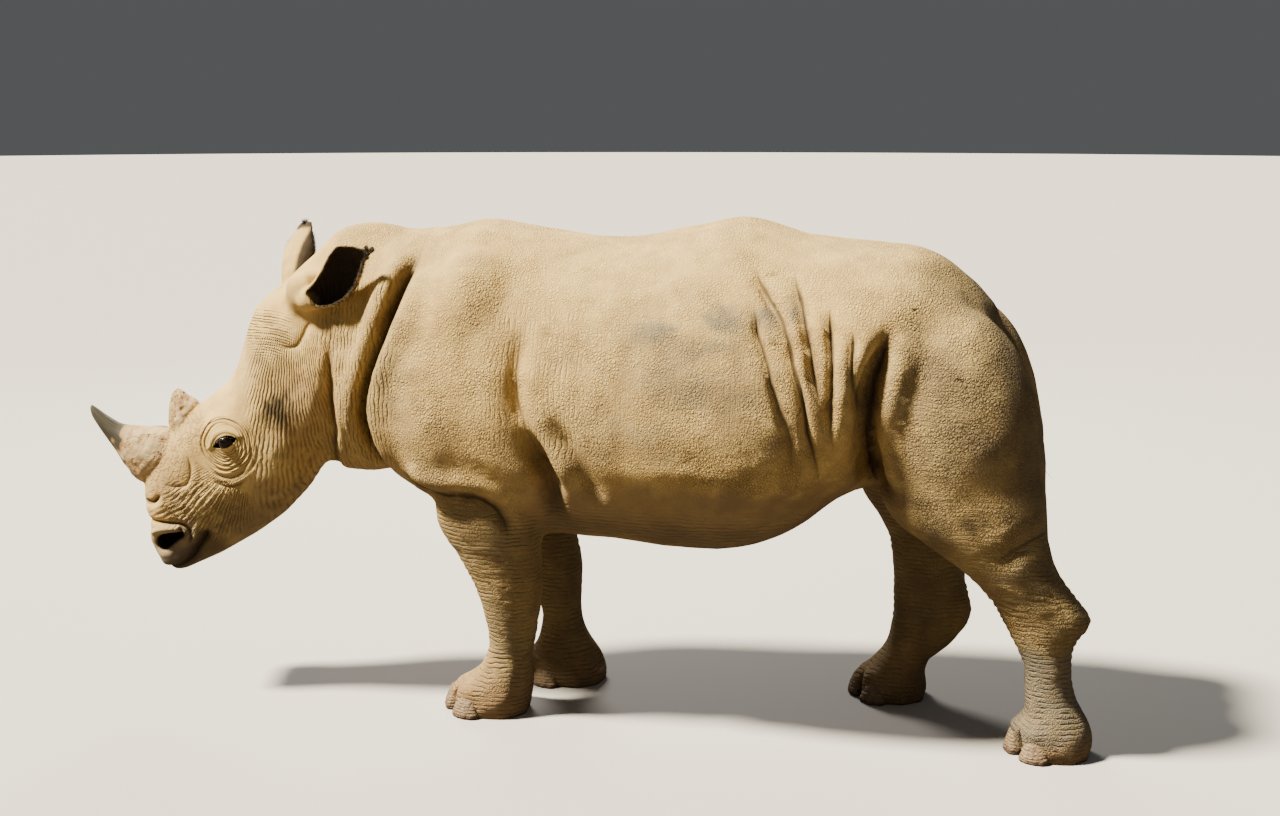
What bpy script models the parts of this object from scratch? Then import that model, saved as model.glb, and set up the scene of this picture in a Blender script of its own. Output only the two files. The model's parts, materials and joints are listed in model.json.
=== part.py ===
"""A southern white rhinoceros at life size, standing with its head low, as a still museum model.

Metres, +Z up. The head points along -X, the rump along +X and the animal's left side faces -Y.
The body is lofted from named cross-sections, fused into one skin, creased where the hide folds,
turned at the neck, and then parted with thin cuts into head, neck, trunk, tail and legs.
Eyes, ears, horns and toenails are pieces of their own, each seated in a pocket in the flesh.
"""

import math
from dataclasses import dataclass

import bmesh
import bpy
import numpy as np
from mathutils import Matrix, Vector

# ---- driving dimensions -------------------------------------------------------------------

GAP = 0.0003                # space left between two neighbouring pieces
SIDES = (("left", -1.0), ("right", 1.0))

BELLY_HALF_WIDTH = 0.50     # half the greatest width of the barrel
SHOULDER_HALF_WIDTH = 0.42
HAUNCH_HALF_WIDTH = 0.43
JOWL_HALF_WIDTH = 0.20      # half the width of the head over the jaws
MUZZLE_HALF_WIDTH = 0.135

NECK_TURN_START = -1.10     # x where the neck starts to turn
NECK_TURN_END = -1.62       # x where the head has its full turn
NECK_TURN = math.radians(13.0)

FUSE_VOXEL = 0.013          # grain of the fused body
FUSE_SMOOTHING = 14         # passes that round the joins of the fused lofts
FOLD_SMOOTHING = 4          # passes that round the folds
BODY_TRIANGLES = 4050
SOLE_ROUNDING = 0.012       # height under which the feet are set flat

EYE_RADIUS = 0.027
EYE_PLACE = (-1.786, 0.172, 0.903)
EAR_SEATS = {"left": (-1.515, -0.120, 1.405), "right": (-1.570, 0.115, 1.378)}
NAIL_SPREADS = (("inner", -62.0), ("middle", 0.0), ("outer", 62.0))

HIDE = ("hide", (0.49, 0.41, 0.29), 0.85)
HORN = ("horn", (0.42, 0.36, 0.27), 0.7)
NAIL = ("nail", (0.36, 0.25, 0.17), 0.7)
EYE = ("eye", (0.02, 0.012, 0.008), 0.12)


# ---- lofting ------------------------------------------------------------------------------

@dataclass
class Section:
    """A closed cross-section, hung on a chord between two (x, z) points of the side view."""

    upper: tuple            # upper or front end of the chord
    lower: tuple            # lower or rear end
    half_width: float
    across: float = 0.0     # y of its middle
    widest: float = 0.5     # where along the chord it is widest, 0 at the upper end
    power: float = 2.0      # 2 is an ellipse, more is squarer
    crest: float = 0.0      # power of the upper part, where it differs

    def row(self):
        return np.array([*self.upper, *self.lower, self.half_width, self.across, self.widest,
                         self.power, self.crest or self.power])


def between(rows, steps):
    """Rows of a smooth Catmull-Rom run through the given rows, with a few steps to each span."""
    rows = np.array(rows)
    ends = np.vstack([2 * rows[0] - rows[1], rows, 2 * rows[-1] - rows[-2]])
    out = []
    for i in range(len(rows) - 1):
        a, b, c, d = ends[i:i + 4]
        for t in np.arange(steps) / steps:
            out.append(0.5 * (2 * b + (c - a) * t + (2 * a - 5 * b + 4 * c - d) * t * t
                              + (3 * b - a - 3 * c + d) * t ** 3))
    out.append(rows[-1])
    return out


def ring(row, sides):
    """The points of one cross-section."""
    upper, lower = row[0:2], row[2:4]
    half_width, across, widest = row[4:7]
    middle = upper + (lower - upper) * widest
    points = []
    for turn in np.arange(sides) * (2 * math.pi / sides):
        up, out = math.cos(turn), math.sin(turn)
        power = row[8] if up > 0 else row[7]
        reach = abs(up) ** (2 / power)
        x, z = middle + ((upper if up > 0 else lower) - middle) * reach
        y = across + half_width * math.copysign(abs(out) ** (2 / power), out)
        points.append((x, y, z))
    return points


def shell(name, rings):
    """A closed mesh object through a run of rings, its faces pointing out."""
    form = bmesh.new()
    loops = [[form.verts.new(point) for point in points] for points in rings]
    for here, there in zip(loops, loops[1:]):
        for i in range(len(here)):
            j = (i + 1) % len(here)
            form.faces.new((here[i], here[j], there[j], there[i]))
    for loop in (loops[0], loops[-1]):
        form.faces.new(loop)
    bmesh.ops.recalc_face_normals(form, faces=form.faces[:])
    return add(name, form)


def add(name, form):
    """Makes an object of a bmesh, in triangles, so that every later cut reads its faces alike."""
    bmesh.ops.triangulate(form, faces=form.faces[:])
    mesh = bpy.data.meshes.new(name)
    form.to_mesh(mesh)
    form.free()
    made = bpy.data.objects.new(name, mesh)
    bpy.context.scene.collection.objects.link(made)
    return made


def loft(name, sections, sides=24, steps=4):
    return shell(name, [ring(row, sides) for row in between([s.row() for s in sections], steps)])


def ellipsoid(name, centre, radii, lean=0.0):
    """A muscle mass, leaning by an angle in the side view."""
    form = bmesh.new()
    bmesh.ops.create_uvsphere(form, u_segments=24, v_segments=16, radius=1.0)
    place = Matrix.Translation(centre) @ Matrix.Rotation(lean, 4, "Y") @ Matrix.Diagonal((*radii, 1.0))
    bmesh.ops.transform(form, matrix=place, verts=form.verts)
    return add(name, form)


# ---- the flesh: trunk, neck, head -----------------------------------------------------------

def trunk_lofts():
    """The barrel of chest and belly, from the base of the neck to the buttocks."""
    belly, shoulder, haunch = BELLY_HALF_WIDTH, SHOULDER_HALF_WIDTH, HAUNCH_HALF_WIDTH
    yield loft("barrel", [
        Section((-1.27, 1.60), (-1.235, 0.81), 0.65 * shoulder, widest=0.64, power=2.1, crest=1.8),
        Section((-1.15, 1.615), (-1.17, 0.765), 0.84 * shoulder, widest=0.64, power=2.15, crest=1.85),
        Section((-1.00, 1.63), (-1.04, 0.70), 0.95 * shoulder, widest=0.63, power=2.2, crest=1.9),
        Section((-0.85, 1.655), (-0.88, 0.645), shoulder, widest=0.61, power=2.25, crest=1.95),
        Section((-0.66, 1.622), (-0.68, 0.600), 1.0 * shoulder, widest=0.60, power=2.2, crest=2.0),
        Section((-0.42, 1.600), (-0.44, 0.588), 0.93 * belly, widest=0.58, power=2.1, crest=2.1),
        Section((-0.20, 1.635), (-0.20, 0.570), 0.99 * belly, widest=0.58, power=2.1, crest=2.1),
        Section((0.00, 1.674), (0.00, 0.582), belly, widest=0.59, power=2.15, crest=2.0),
        Section((0.20, 1.620), (0.18, 0.655), 0.98 * belly, widest=0.56, power=2.15, crest=2.05),
        Section((0.42, 1.597), (0.36, 0.785), 0.89 * belly, widest=0.50, power=2.1),
        Section((0.57, 1.580), (0.54, 0.820), 0.78 * belly, widest=0.48, power=2.1),
        Section((0.69, 1.512), (0.69, 0.820), 0.64 * belly, widest=0.46, power=2.0),
        Section((0.79, 1.410), (0.79, 0.840), 0.44 * belly, widest=0.46, power=2.0),
        Section((0.855, 1.27), (0.85, 0.90), 0.22 * belly, widest=0.5, power=2.0),
    ])
    for side, sign in SIDES:
        yield ellipsoid(f"scapula_{side}", (-0.90, sign * 0.215, 1.22), (0.21, 0.175, 0.36), 0.20)
        yield ellipsoid(f"arm_{side}", (-0.93, sign * 0.255, 1.00), (0.235, 0.165, 0.24))
        yield ellipsoid(f"elbow_{side}", (-0.915, sign * 0.235, 0.855), (0.215, 0.155, 0.125), 0.05)
        yield ellipsoid(f"rib_{side}", (-0.30, sign * 0.25, 1.02), (0.50, 0.225, 0.34))
        yield ellipsoid(f"haunch_{side}", (0.69, sign * 0.215, 1.03), (0.265, haunch - 0.215, 0.40), -0.14)
        yield ellipsoid(f"hip_{side}", (0.56, sign * 0.19, 1.30), (0.235, 0.16, 0.20), 0.50)
        yield ellipsoid(f"buttock_{side}", (0.82, sign * 0.180, 0.93), (0.152, 0.165, 0.30), -0.10)


def neck_and_head():
    """The neck with its crest, and the long head that hangs from it, as one run of sections."""
    jowl, muzzle = JOWL_HALF_WIDTH, MUZZLE_HALF_WIDTH
    yield loft("neck_and_head", [
        Section((-1.12, 1.612), (-1.16, 0.81), 0.275, widest=0.64, power=2.1, crest=1.55),
        Section((-1.27, 1.640), (-1.26, 0.778), 0.262, widest=0.64, power=2.05, crest=1.5),
        Section((-1.40, 1.618), (-1.34, 0.773), 0.245, widest=0.62, power=2.05, crest=1.5),
        Section((-1.495, 1.532), (-1.41, 0.795), 0.225, widest=0.60, power=2.05, crest=1.55),
        Section((-1.60, 1.435), (-1.47, 0.805), 0.205, widest=0.58, power=2.1, crest=1.75),
        Section((-1.70, 1.345), (-1.53, 0.720), jowl, widest=0.58, power=2.15, crest=1.95),
        Section((-1.742, 1.22), (-1.61, 0.632), jowl, widest=0.55, power=2.2, crest=2.1),
        Section((-1.790, 1.10), (-1.71, 0.558), 0.94 * jowl, widest=0.46, power=2.25),
        Section((-1.890, 1.02), (-1.79, 0.510), 0.82 * jowl, widest=0.44, power=2.35),
        Section((-1.995, 0.920), (-1.865, 0.470), 1.04 * muzzle, widest=0.46, power=2.4),
        Section((-2.080, 0.800), (-1.915, 0.448), 0.93 * muzzle, widest=0.48, power=2.4),
        Section((-2.106, 0.705), (-1.955, 0.432), 0.96 * muzzle, widest=0.50, power=2.5),
        Section((-2.074, 0.620), (-1.985, 0.425), muzzle, widest=0.55, power=2.6),
        Section((-2.055, 0.515), (-2.012, 0.428), 0.92 * muzzle, widest=0.5, power=2.6),
        Section((-2.038, 0.475), (-2.022, 0.442), 0.72 * muzzle, widest=0.5, power=2.4),
    ], steps=5)
    for side, sign in SIDES:
        yield ellipsoid(f"brow_{side}", (-1.79, sign * 0.130, 0.925), (0.085, 0.055, 0.070), 0.5)
        yield ellipsoid(f"ear_seat_{side}", EAR_SEATS[side], (0.064, 0.074, 0.078))
        yield ellipsoid(f"cheek_{side}", (-1.62, sign * 0.115, 0.86), (0.115, 0.095, 0.185), 0.35)
        yield ellipsoid(f"nose_wing_{side}", (-2.018, sign * 0.090, 0.560), (0.058, 0.056, 0.060))


# ---- the flesh: legs ------------------------------------------------------------------------

@dataclass
class Level:
    """A level cut through a leg: its front and rear edge in the side view, and its place across."""

    height: float
    front: float
    rear: float
    across: float
    half_width: float

    def section(self, sign):
        return Section((self.front, self.height), (self.rear, self.height), self.half_width,
                       across=sign * self.across, power=2.25)


FORE_GIRTHS = (
    # height, distance out from the midline, half-width
    (1.00, 0.215, 0.085), (0.80, 0.228, 0.130), (0.66, 0.222, 0.136), (0.55, 0.213, 0.122),
    (0.43, 0.203, 0.110), (0.31, 0.195, 0.092), (0.23, 0.190, 0.086), (0.16, 0.186, 0.096),
    (0.10, 0.184, 0.117), (0.05, 0.183, 0.127), (0.0, 0.183, 0.124),
)
FORE_EDGES = {
    # front and rear edge at the height of each girth
    "left": ((-0.96, -0.70), (-1.005, -0.655), (-1.000, -0.655), (-0.933, -0.656), (-0.876, -0.656),
             (-0.846, -0.674), (-0.840, -0.690), (-0.872, -0.695), (-0.945, -0.694), (-0.982, -0.700),
             (-0.980, -0.706)),
    "right": ((-0.94, -0.70), (-0.98, -0.645), (-0.95, -0.645), (-0.902, -0.644), (-0.830, -0.617),
              (-0.770, -0.617), (-0.752, -0.613), (-0.765, -0.585), (-0.792, -0.548), (-0.803, -0.524),
              (-0.800, -0.528)),
}
HIND_GIRTHS = (
    (1.08, 0.215, 0.100), (0.88, 0.232, 0.165), (0.75, 0.240, 0.155), (0.66, 0.240, 0.135),
    (0.58, 0.240, 0.118), (0.50, 0.238, 0.104), (0.44, 0.236, 0.096), (0.37, 0.234, 0.087),
    (0.30, 0.232, 0.082), (0.20, 0.231, 0.084), (0.14, 0.231, 0.096), (0.09, 0.231, 0.113),
    (0.045, 0.231, 0.122), (0.0, 0.231, 0.119),
)
HIND_EDGES = {
    "left": ((0.55, 0.90), (0.45, 0.968), (0.500, 0.984), (0.625, 0.992), (0.737, 1.030),
             (0.815, 1.088), (0.848, 1.134), (0.884, 1.083), (0.922, 1.073), (0.929, 1.085),
             (0.930, 1.118), (0.900, 1.144), (0.893, 1.149), (0.896, 1.142)),
    "right": ((0.50, 0.85), (0.36, 0.83), (0.362, 0.79), (0.420, 0.745), (0.462, 0.725),
              (0.474, 0.720), (0.482, 0.724), (0.485, 0.740), (0.483, 0.753), (0.464, 0.686),
              (0.425, 0.612), (0.384, 0.598), (0.358, 0.608), (0.348, 0.606)),
}


def leg_levels(girths, edges):
    return [Level(height, front, rear, across, half_width)
            for (height, across, half_width), (front, rear) in zip(girths, edges)]


def leg_lofts():
    for girths, edges, end in ((FORE_GIRTHS, FORE_EDGES, "fore"), (HIND_GIRTHS, HIND_EDGES, "hind")):
        for side, sign in SIDES:
            levels = leg_levels(girths, edges[side])
            yield loft(f"{end}_{side}", [level.section(sign) for level in levels])


# ---- fusing and creasing ----------------------------------------------------------------------

def use_alone(made):
    bpy.context.view_layer.update()
    for other in bpy.context.scene.objects:
        other.select_set(other == made)
    bpy.context.view_layer.objects.active = made


def apply(made, kind, **settings):
    """Adds a modifier of this kind and applies it."""
    modifier = made.modifiers.new(kind.lower(), kind)
    for name, value in settings.items():
        setattr(modifier, name, value)
    use_alone(made)
    bpy.ops.object.modifier_apply(modifier=modifier.name)


def fuse(name, pieces):
    """One closed surface round all of the pieces, which are used up."""
    form = bmesh.new()
    for piece in pieces:
        form.from_mesh(piece.data)
        bpy.data.objects.remove(piece)
    fused = add(name, form)
    apply(fused, "REMESH", mode="VOXEL", voxel_size=FUSE_VOXEL)
    apply(fused, "SMOOTH", factor=0.5, iterations=FUSE_SMOOTHING)
    return fused


def distance_to_path(points, path):
    """How far each (x, z) point lies from a path of straight runs, and how far along it that is."""
    path = np.array(path)
    best = np.full(len(points), np.inf)
    along = np.zeros(len(points))
    for i, (start, end) in enumerate(zip(path, path[1:])):
        run = end - start
        part = np.clip((points - start) @ run / (run @ run), 0, 1)
        away = np.linalg.norm(points - start - part[:, None] * run, axis=1)
        nearer = away < best
        best[nearer] = away[nearer]
        along[nearer] = (i + part[nearer]) / (len(path) - 1)
    return best, along


@dataclass
class Crease:
    """A fold of the hide on both flanks: a groove along a path of the side view."""

    path: tuple
    depth: float
    width: float
    out: float = 0.0        # only where |y| is beyond this


ROLL_HEIGHT = 0.30          # the roll beside a fold, as a share of the fold's depth
ROLL_PLACE = 2.2            # how far it lies from the fold, in fold widths
CREASES = (
    # the deep fold between neck and shoulder, and the roll in front of it
    Crease(((-1.07, 1.56), (-1.104, 1.467), (-1.135, 1.373), (-1.176, 1.266), (-1.232, 1.14),
            (-1.257, 1.031), (-1.239, 0.942), (-1.20, 0.85)), 0.040, 0.030),
    # behind the jaw
    Crease(((-1.375, 1.25), (-1.40, 1.06), (-1.44, 0.90), (-1.463, 0.815)), 0.020, 0.035),
    # behind the shoulder, down to the armpit
    Crease(((-0.68, 1.34), (-0.686, 1.168), (-0.675, 1.039), (-0.643, 0.943), (-0.594, 0.847),
            (-0.56, 0.76)), 0.022, 0.045, 0.15),
    # under the fold above the elbow
    Crease(((-1.09, 0.72), (-0.987, 0.735), (-0.851, 0.735), (-0.75, 0.75)), 0.010, 0.028, 0.15),
    # in front of the thigh
    Crease(((0.492, 1.33), (0.459, 1.214), (0.431, 1.104), (0.409, 0.978), (0.425, 0.87),
            (0.50, 0.76)), 0.035, 0.035, 0.15),
    # two folds on the rear ribs
    Crease(((0.11, 1.45), (0.17, 1.25), (0.215, 1.06), (0.25, 0.89)), 0.012, 0.022, 0.15),
    Crease(((0.20, 1.47), (0.26, 1.28), (0.31, 1.10), (0.325, 0.96)), 0.012, 0.022, 0.15),
)
HOLLOWS = (
    # (x, |y|, z), radius, depth: temple, side of the nose, nostril, mouth corner, flank
    ((-1.60, 0.20, 1.10), 0.075, 0.012),
    ((-1.90, 0.15, 0.80), 0.085, 0.016),
    ((-2.005, 0.14, 0.552), 0.028, 0.034),
    ((-1.80, 0.17, 0.62), 0.070, 0.010),
    ((0.40, 0.45, 1.42), 0.100, 0.012),
)


def crease(fused):
    """Presses the folds and hollows into the fused body."""
    mesh = fused.data
    count = len(mesh.vertices)
    places = np.empty(count * 3)
    facing = np.empty(count * 3)
    mesh.vertices.foreach_get("co", places)
    mesh.vertex_normals.foreach_get("vector", facing)
    places, facing = places.reshape(-1, 3), facing.reshape(-1, 3)
    push = np.zeros(count)
    out = np.abs(places[:, 1])
    sideways = np.clip(np.abs(facing[:, 1]) * 2.0, 0, 1)
    for fold in CREASES:
        away, along = distance_to_path(places[:, [0, 2]], fold.path)
        ends = np.clip(np.minimum(along, 1 - along) * 4, 0, 1)
        groove = np.exp(-(away / fold.width) ** 2)
        roll = np.exp(-(away / fold.width - ROLL_PLACE) ** 2)
        shown = ends * sideways * np.clip((out - fold.out) * 8, 0, 1)
        push -= fold.depth * (groove - ROLL_HEIGHT * roll) * shown
    for centre, radius, depth in HOLLOWS:
        away = np.linalg.norm(np.column_stack([places[:, 0], out, places[:, 2]]) - centre, axis=1)
        push -= depth * np.exp(-(away / radius) ** 2)
    mesh.vertices.foreach_set("co", (places + facing * push[:, None]).ravel())
    mesh.update()
    apply(fused, "SMOOTH", factor=0.5, iterations=FOLD_SMOOTHING)


def flatten_soles(fused):
    """Sets all that is near the ground flat on it."""
    for vertex in fused.data.vertices:
        if vertex.co.z < SOLE_ROUNDING:
            vertex.co.z = 0.0


# ---- the turn of the neck -----------------------------------------------------------------------

class NeckTurn:
    """Turns what lies ahead of the neck's root towards the animal's left."""

    def __init__(self):
        self.stations = np.linspace(NECK_TURN_START, -2.6, 600)
        part = np.clip((NECK_TURN_START - self.stations) / (NECK_TURN_START - NECK_TURN_END), 0, 1)
        self.angle = NECK_TURN * part * part * (3 - 2 * part)
        step = self.stations[0] - self.stations[1]
        self.x = NECK_TURN_START - np.concatenate([[0], np.cumsum(np.cos(self.angle[:-1]) * step)])
        self.y = -np.concatenate([[0], np.cumsum(np.sin(self.angle[:-1]) * step)])

    def __call__(self, places):
        """The turned places of an array of points."""
        ahead = np.minimum(places[:, 0], NECK_TURN_START)
        order = -self.stations
        angle = np.interp(-ahead, order, self.angle)
        x = np.interp(-ahead, order, self.x) - np.sin(angle) * places[:, 1] + places[:, 0] - ahead
        y = np.interp(-ahead, order, self.y) + np.cos(angle) * places[:, 1]
        return np.column_stack([x, y, places[:, 2]])

    def mesh(self, made):
        places = np.empty(len(made.data.vertices) * 3)
        made.data.vertices.foreach_get("co", places)
        made.data.vertices.foreach_set("co", self(places.reshape(-1, 3)).ravel())
        made.data.update()
        return made


# ---- cutting ------------------------------------------------------------------------------------

def duplicate(made, name):
    copy = made.copy()
    copy.data = made.data.copy()
    copy.name = name
    bpy.context.scene.collection.objects.link(copy)
    return copy


def grown(made, by):
    """A copy of a closed piece, pushed out along its normals."""
    copy = duplicate(made, made.name + "_grown")
    facing = [vertex.normal.copy() for vertex in copy.data.vertices]
    for vertex, normal in zip(copy.data.vertices, facing):
        vertex.co += normal * by
    copy.data.update()
    return copy


def cut(made, cutter, operation):
    apply(made, "BOOLEAN", object=cutter, operation=operation, solver="EXACT")


def carve(made, piece):
    """Takes the piece's room out of the flesh, with the gap round it."""
    cutter = grown(piece, GAP)
    cut(made, cutter, "DIFFERENCE")
    bpy.data.objects.remove(cutter)


def block(name, corners, near=-0.8, far=0.8, rise=0.0):
    """A block over a side-view outline, from y = near to y = far, its far end higher by rise."""
    form = bmesh.new()
    ends = []
    for y, lift in ((near, 0.0), (far, rise)):
        ends.append([form.verts.new((x, y, z + (lift if z > 0 else 0.0))) for x, z in corners])
    for i in range(len(corners)):
        j = (i + 1) % len(corners)
        form.faces.new((ends[0][i], ends[0][j], ends[1][j], ends[1][i]))
    form.faces.new(ends[0])
    form.faces.new(ends[1])
    bmesh.ops.recalc_face_normals(form, faces=form.faces[:])
    return add(name, form)


def keep_largest(made):
    """Drops the crumbs that a cut leaves beside the main body."""
    form = bmesh.new()
    form.from_mesh(made.data)
    left = set(form.verts)
    bodies = []
    while left:
        body, edge = set(), [left.pop()]
        while edge:
            vertex = edge.pop()
            body.add(vertex)
            for link in vertex.link_edges:
                other = link.other_vert(vertex)
                if other in left:
                    left.remove(other)
                    edge.append(other)
        bodies.append(body)
    bodies.sort(key=len)
    for body in bodies[:-1]:
        bmesh.ops.delete(form, geom=list(body), context="VERTS")
    form.to_mesh(made.data)
    form.free()


def part_off(flesh, name, cutter):
    """Splits the flesh in two at the cutter, with the thin gap between, and gives the part inside."""
    inside = duplicate(flesh, name)
    cut(inside, cutter, "INTERSECT")
    carve(flesh, cutter)
    bpy.data.objects.remove(cutter)
    return inside


# Side-view outlines of the cuts: the head ends behind the jaw, the neck at its deep fold, and each leg
# at a slope that climbs outwards under the shoulder or over the thigh.
HEAD_ROOM = ((-1.40, 1.95), (-1.38, 1.25), (-1.455, 0.80), (-1.455, 0.20), (-2.80, 0.20), (-2.80, 1.95))
NECK_ROOM = ((-1.06, 1.95), (-1.104, 1.467), (-1.176, 1.266), (-1.243, 1.12), (-1.248, 0.95),
             (-1.215, 0.80), (-1.215, 0.20), (-2.80, 0.20), (-2.80, 1.95))
FORE_ROOM = ((-1.16, 0.56), (-1.16, -0.05), (-0.45, -0.05), (-0.59, 0.10), (-0.59, 0.56))
HIND_ROOM = ((0.44, 0.78), (0.36, 0.62), (0.30, 0.40), (0.30, -0.05), (1.30, -0.05), (1.30, 0.78))
LEG_ROOM_SPAN = (0.03, 0.60)        # how far out from the midline the legs' blocks run
FORE_ROOM_RISE = 0.39               # how much higher a block is at its outer end
HIND_ROOM_RISE = 0.53


# ---- pieces seated in the flesh --------------------------------------------------------------------

def front_horn():
    return loft("horn_front", [
        Section((-1.985, 0.900), (-2.070, 0.715), 0.088, power=2.2),
        Section((-2.030, 0.925), (-2.128, 0.738), 0.086, power=2.2),
        Section((-2.085, 0.925), (-2.172, 0.796), 0.068, power=2.1),
        Section((-2.135, 0.930), (-2.196, 0.832), 0.051),
        Section((-2.180, 0.938), (-2.220, 0.868), 0.038),
        Section((-2.232, 0.966), (-2.253, 0.925), 0.024),
        Section((-2.272, 0.996), (-2.280, 0.980), 0.010),
        Section((-2.284, 1.006), (-2.286, 1.002), 0.003),
    ], sides=14, steps=1)


def rear_horn():
    return loft("horn_rear", [
        Section((-1.895, 0.985), (-1.995, 0.885), 0.062, power=2.2),
        Section((-1.912, 1.012), (-2.020, 0.930), 0.060, power=2.2),
        Section((-1.945, 1.035), (-2.018, 0.975), 0.046),
        Section((-1.970, 1.056), (-2.012, 1.018), 0.030),
        Section((-1.987, 1.062), (-2.002, 1.045), 0.012),
    ], sides=12, steps=1)


EAR_TIPS = {"left": (-1.196, -0.275, 1.566), "right": (-1.594, 0.150, 1.620)}
EAR_ROOTS = {"left": (-1.470, -0.208, 1.372), "right": (-1.600, 0.060, 1.400)}
EAR_OPENINGS = {"left": (0.10, -1.0, -0.05), "right": (0.45, 0.90, 0.0)}
EAR_LENGTH = 0.306
EAR_WALL = 0.011
EAR_BUD = (
    # distance from the root, reach behind and in front, half-width, lean to the outer edge
    (-0.040, 0.032, 0.026, 0.030, 0.0), (0.010, 0.042, 0.030, 0.040, 0.006),
    (0.060, 0.052, 0.036, 0.056, 0.016), (0.110, 0.057, 0.034, 0.067, 0.013),
    (0.165, 0.053, 0.027, 0.073, -0.004), (0.207, 0.043, 0.019, 0.067, -0.018),
    (0.242, 0.029, 0.012, 0.045, -0.020), (0.275, 0.015, 0.008, 0.023, -0.010),
    (EAR_LENGTH, 0.004, 0.003, 0.006, 0.0),
)
EAR_TIP_SPREADS = {"left": 1.0, "right": 1.5}       # how much broader the ear's top is than the bud's
EAR_TIP_BLUNTS = {"left": 0.0, "right": 0.024}      # what its very tip has more of half-width
EAR_LEANS = {"left": 1.0, "right": 0.3}             # how far its outline leans, as a share of the bud's


def ear(side, sign):
    """A funnel, a bud with a scoop taken out of its open side, and the whole bud, which is its room."""
    rows = []
    for s, back, front, half_width, lean in EAR_BUD:
        broader = 1 + (EAR_TIP_SPREADS[side] - 1) * max(0.0, s / EAR_LENGTH - 0.6) / 0.4
        blunt = EAR_TIP_BLUNTS[side] * max(0.0, s / EAR_LENGTH - 0.75) / 0.25
        rows.append((s, back, front, half_width * broader + blunt, -sign * lean * EAR_LEANS[side]))
    bud = loft(f"ear_{side}_room", [
        Section((-back, s), (front, s), half_width, across=lean, widest=back / (back + front))
        for s, back, front, half_width, lean in rows
    ], sides=14, steps=1)
    scoop = loft("scoop", [
        Section((-back + EAR_WALL, s), (front + 0.05, s), half_width - EAR_WALL, across=lean,
                widest=(back - EAR_WALL) / (back - EAR_WALL + front + 0.05))
        for s, back, front, half_width, lean in rows[1:-1]
    ], sides=14, steps=1)
    made = duplicate(bud, f"ear_{side}")
    cut(made, scoop, "DIFFERENCE")
    bpy.data.objects.remove(scoop)
    root, tip = Vector(EAR_ROOTS[side]), Vector(EAR_TIPS[side])
    long_way = (tip - root).normalized()
    open_way = Vector(EAR_OPENINGS[side])
    open_way = (open_way - long_way * open_way.dot(long_way)).normalized()
    wide_way = long_way.cross(open_way)
    turn = Matrix((open_way, wide_way, long_way)).transposed().to_4x4()
    for piece in (made, bud):
        piece.data.transform(Matrix.Translation(tip - long_way * EAR_LENGTH) @ turn)
    return made, bud


def eye(side, sign, turn):
    form = bmesh.new()
    bmesh.ops.create_uvsphere(form, u_segments=10, v_segments=7, radius=EYE_RADIUS)
    x, y, z = EYE_PLACE
    place = turn(np.array([[x, sign * y, z]]))[0]
    bmesh.ops.translate(form, verts=form.verts, vec=Vector(place))
    return add(f"eye_{side}", form)


def toenail(name, level, sign, spread):
    """A curved plate let into the front of the foot, its top edge arched."""
    columns, rows = 5, 3
    half_span = math.radians(21.0 if spread == 0 else 19.0)
    height = 0.078 if spread == 0 else 0.066
    middle_x = (level.front + level.rear) / 2
    reach_x = (level.rear - level.front) / 2
    grids = []
    for inset, bulge in ((0.006, 0.010), (-0.020, 0.0)):
        grid = []
        for row in range(rows):
            up = row / (rows - 1)
            line = []
            for column in range(columns):
                u = 2 * column / (columns - 1) - 1
                turn = math.radians(spread) * sign + u * half_span * (1 - 0.25 * up)
                z = 0.002 + height * up * (1 - 0.30 * u * u)
                out = inset + bulge * (1 - u * u) * (1 - 0.5 * up) - 0.016 * up
                x = middle_x - math.cos(turn) * (reach_x + out)
                y = sign * level.across + math.sin(turn) * (level.half_width + out)
                line.append((x, y, z))
            grid.append(line)
        grids.append(grid)
    form = bmesh.new()
    outer, inner = [[[form.verts.new(point) for point in line] for line in grid] for grid in grids]
    for row in range(rows - 1):
        for column in range(columns - 1):
            for grid in (outer, inner):
                form.faces.new((grid[row][column], grid[row][column + 1],
                                grid[row + 1][column + 1], grid[row + 1][column]))
    rim = [(0, c) for c in range(columns)] + [(r, columns - 1) for r in range(1, rows)]
    rim += [(rows - 1, c) for c in range(columns - 2, -1, -1)] + [(r, 0) for r in range(rows - 2, 0, -1)]
    for (r, c), (s, d) in zip(rim, rim[1:] + rim[:1]):
        form.faces.new((outer[r][c], outer[s][d], inner[s][d], inner[r][c]))
    bmesh.ops.recalc_face_normals(form, faces=form.faces[:])
    return add(name, form)


def tail():
    """A slim tail that hangs in the furrow between the buttocks, with a flattened end."""
    return loft("tail", [
        Section((0.780, 1.345), (0.755, 1.270), 0.040),
        Section((0.850, 1.310), (0.812, 1.242), 0.036),
        Section((0.905, 1.215), (0.850, 1.190), 0.031),
        Section((0.930, 1.100), (0.880, 1.095), 0.026),
        Section((0.938, 0.960), (0.896, 0.960), 0.022),
        Section((0.940, 0.840), (0.904, 0.840), 0.020),
        Section((0.938, 0.770), (0.904, 0.770), 0.024),
        Section((0.930, 0.715), (0.910, 0.715), 0.018),
    ], sides=10, steps=1)


# ---- materials ----------------------------------------------------------------------------------------

def finish(made, look):
    """Gives a piece its own material."""
    name, colour, roughness = look
    material = bpy.data.materials.new(f"{name}_{made.name}")
    material.use_nodes = True
    shader = material.node_tree.nodes["Principled BSDF"]
    shader.inputs["Base Color"].default_value = (*colour, 1.0)
    shader.inputs["Roughness"].default_value = roughness
    shader.inputs["Metallic"].default_value = 0.0
    made.data.materials.clear()
    made.data.materials.append(material)
    made.data.shade_smooth()
    made.data.set_sharp_from_angle(angle=math.radians(50))


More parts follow.
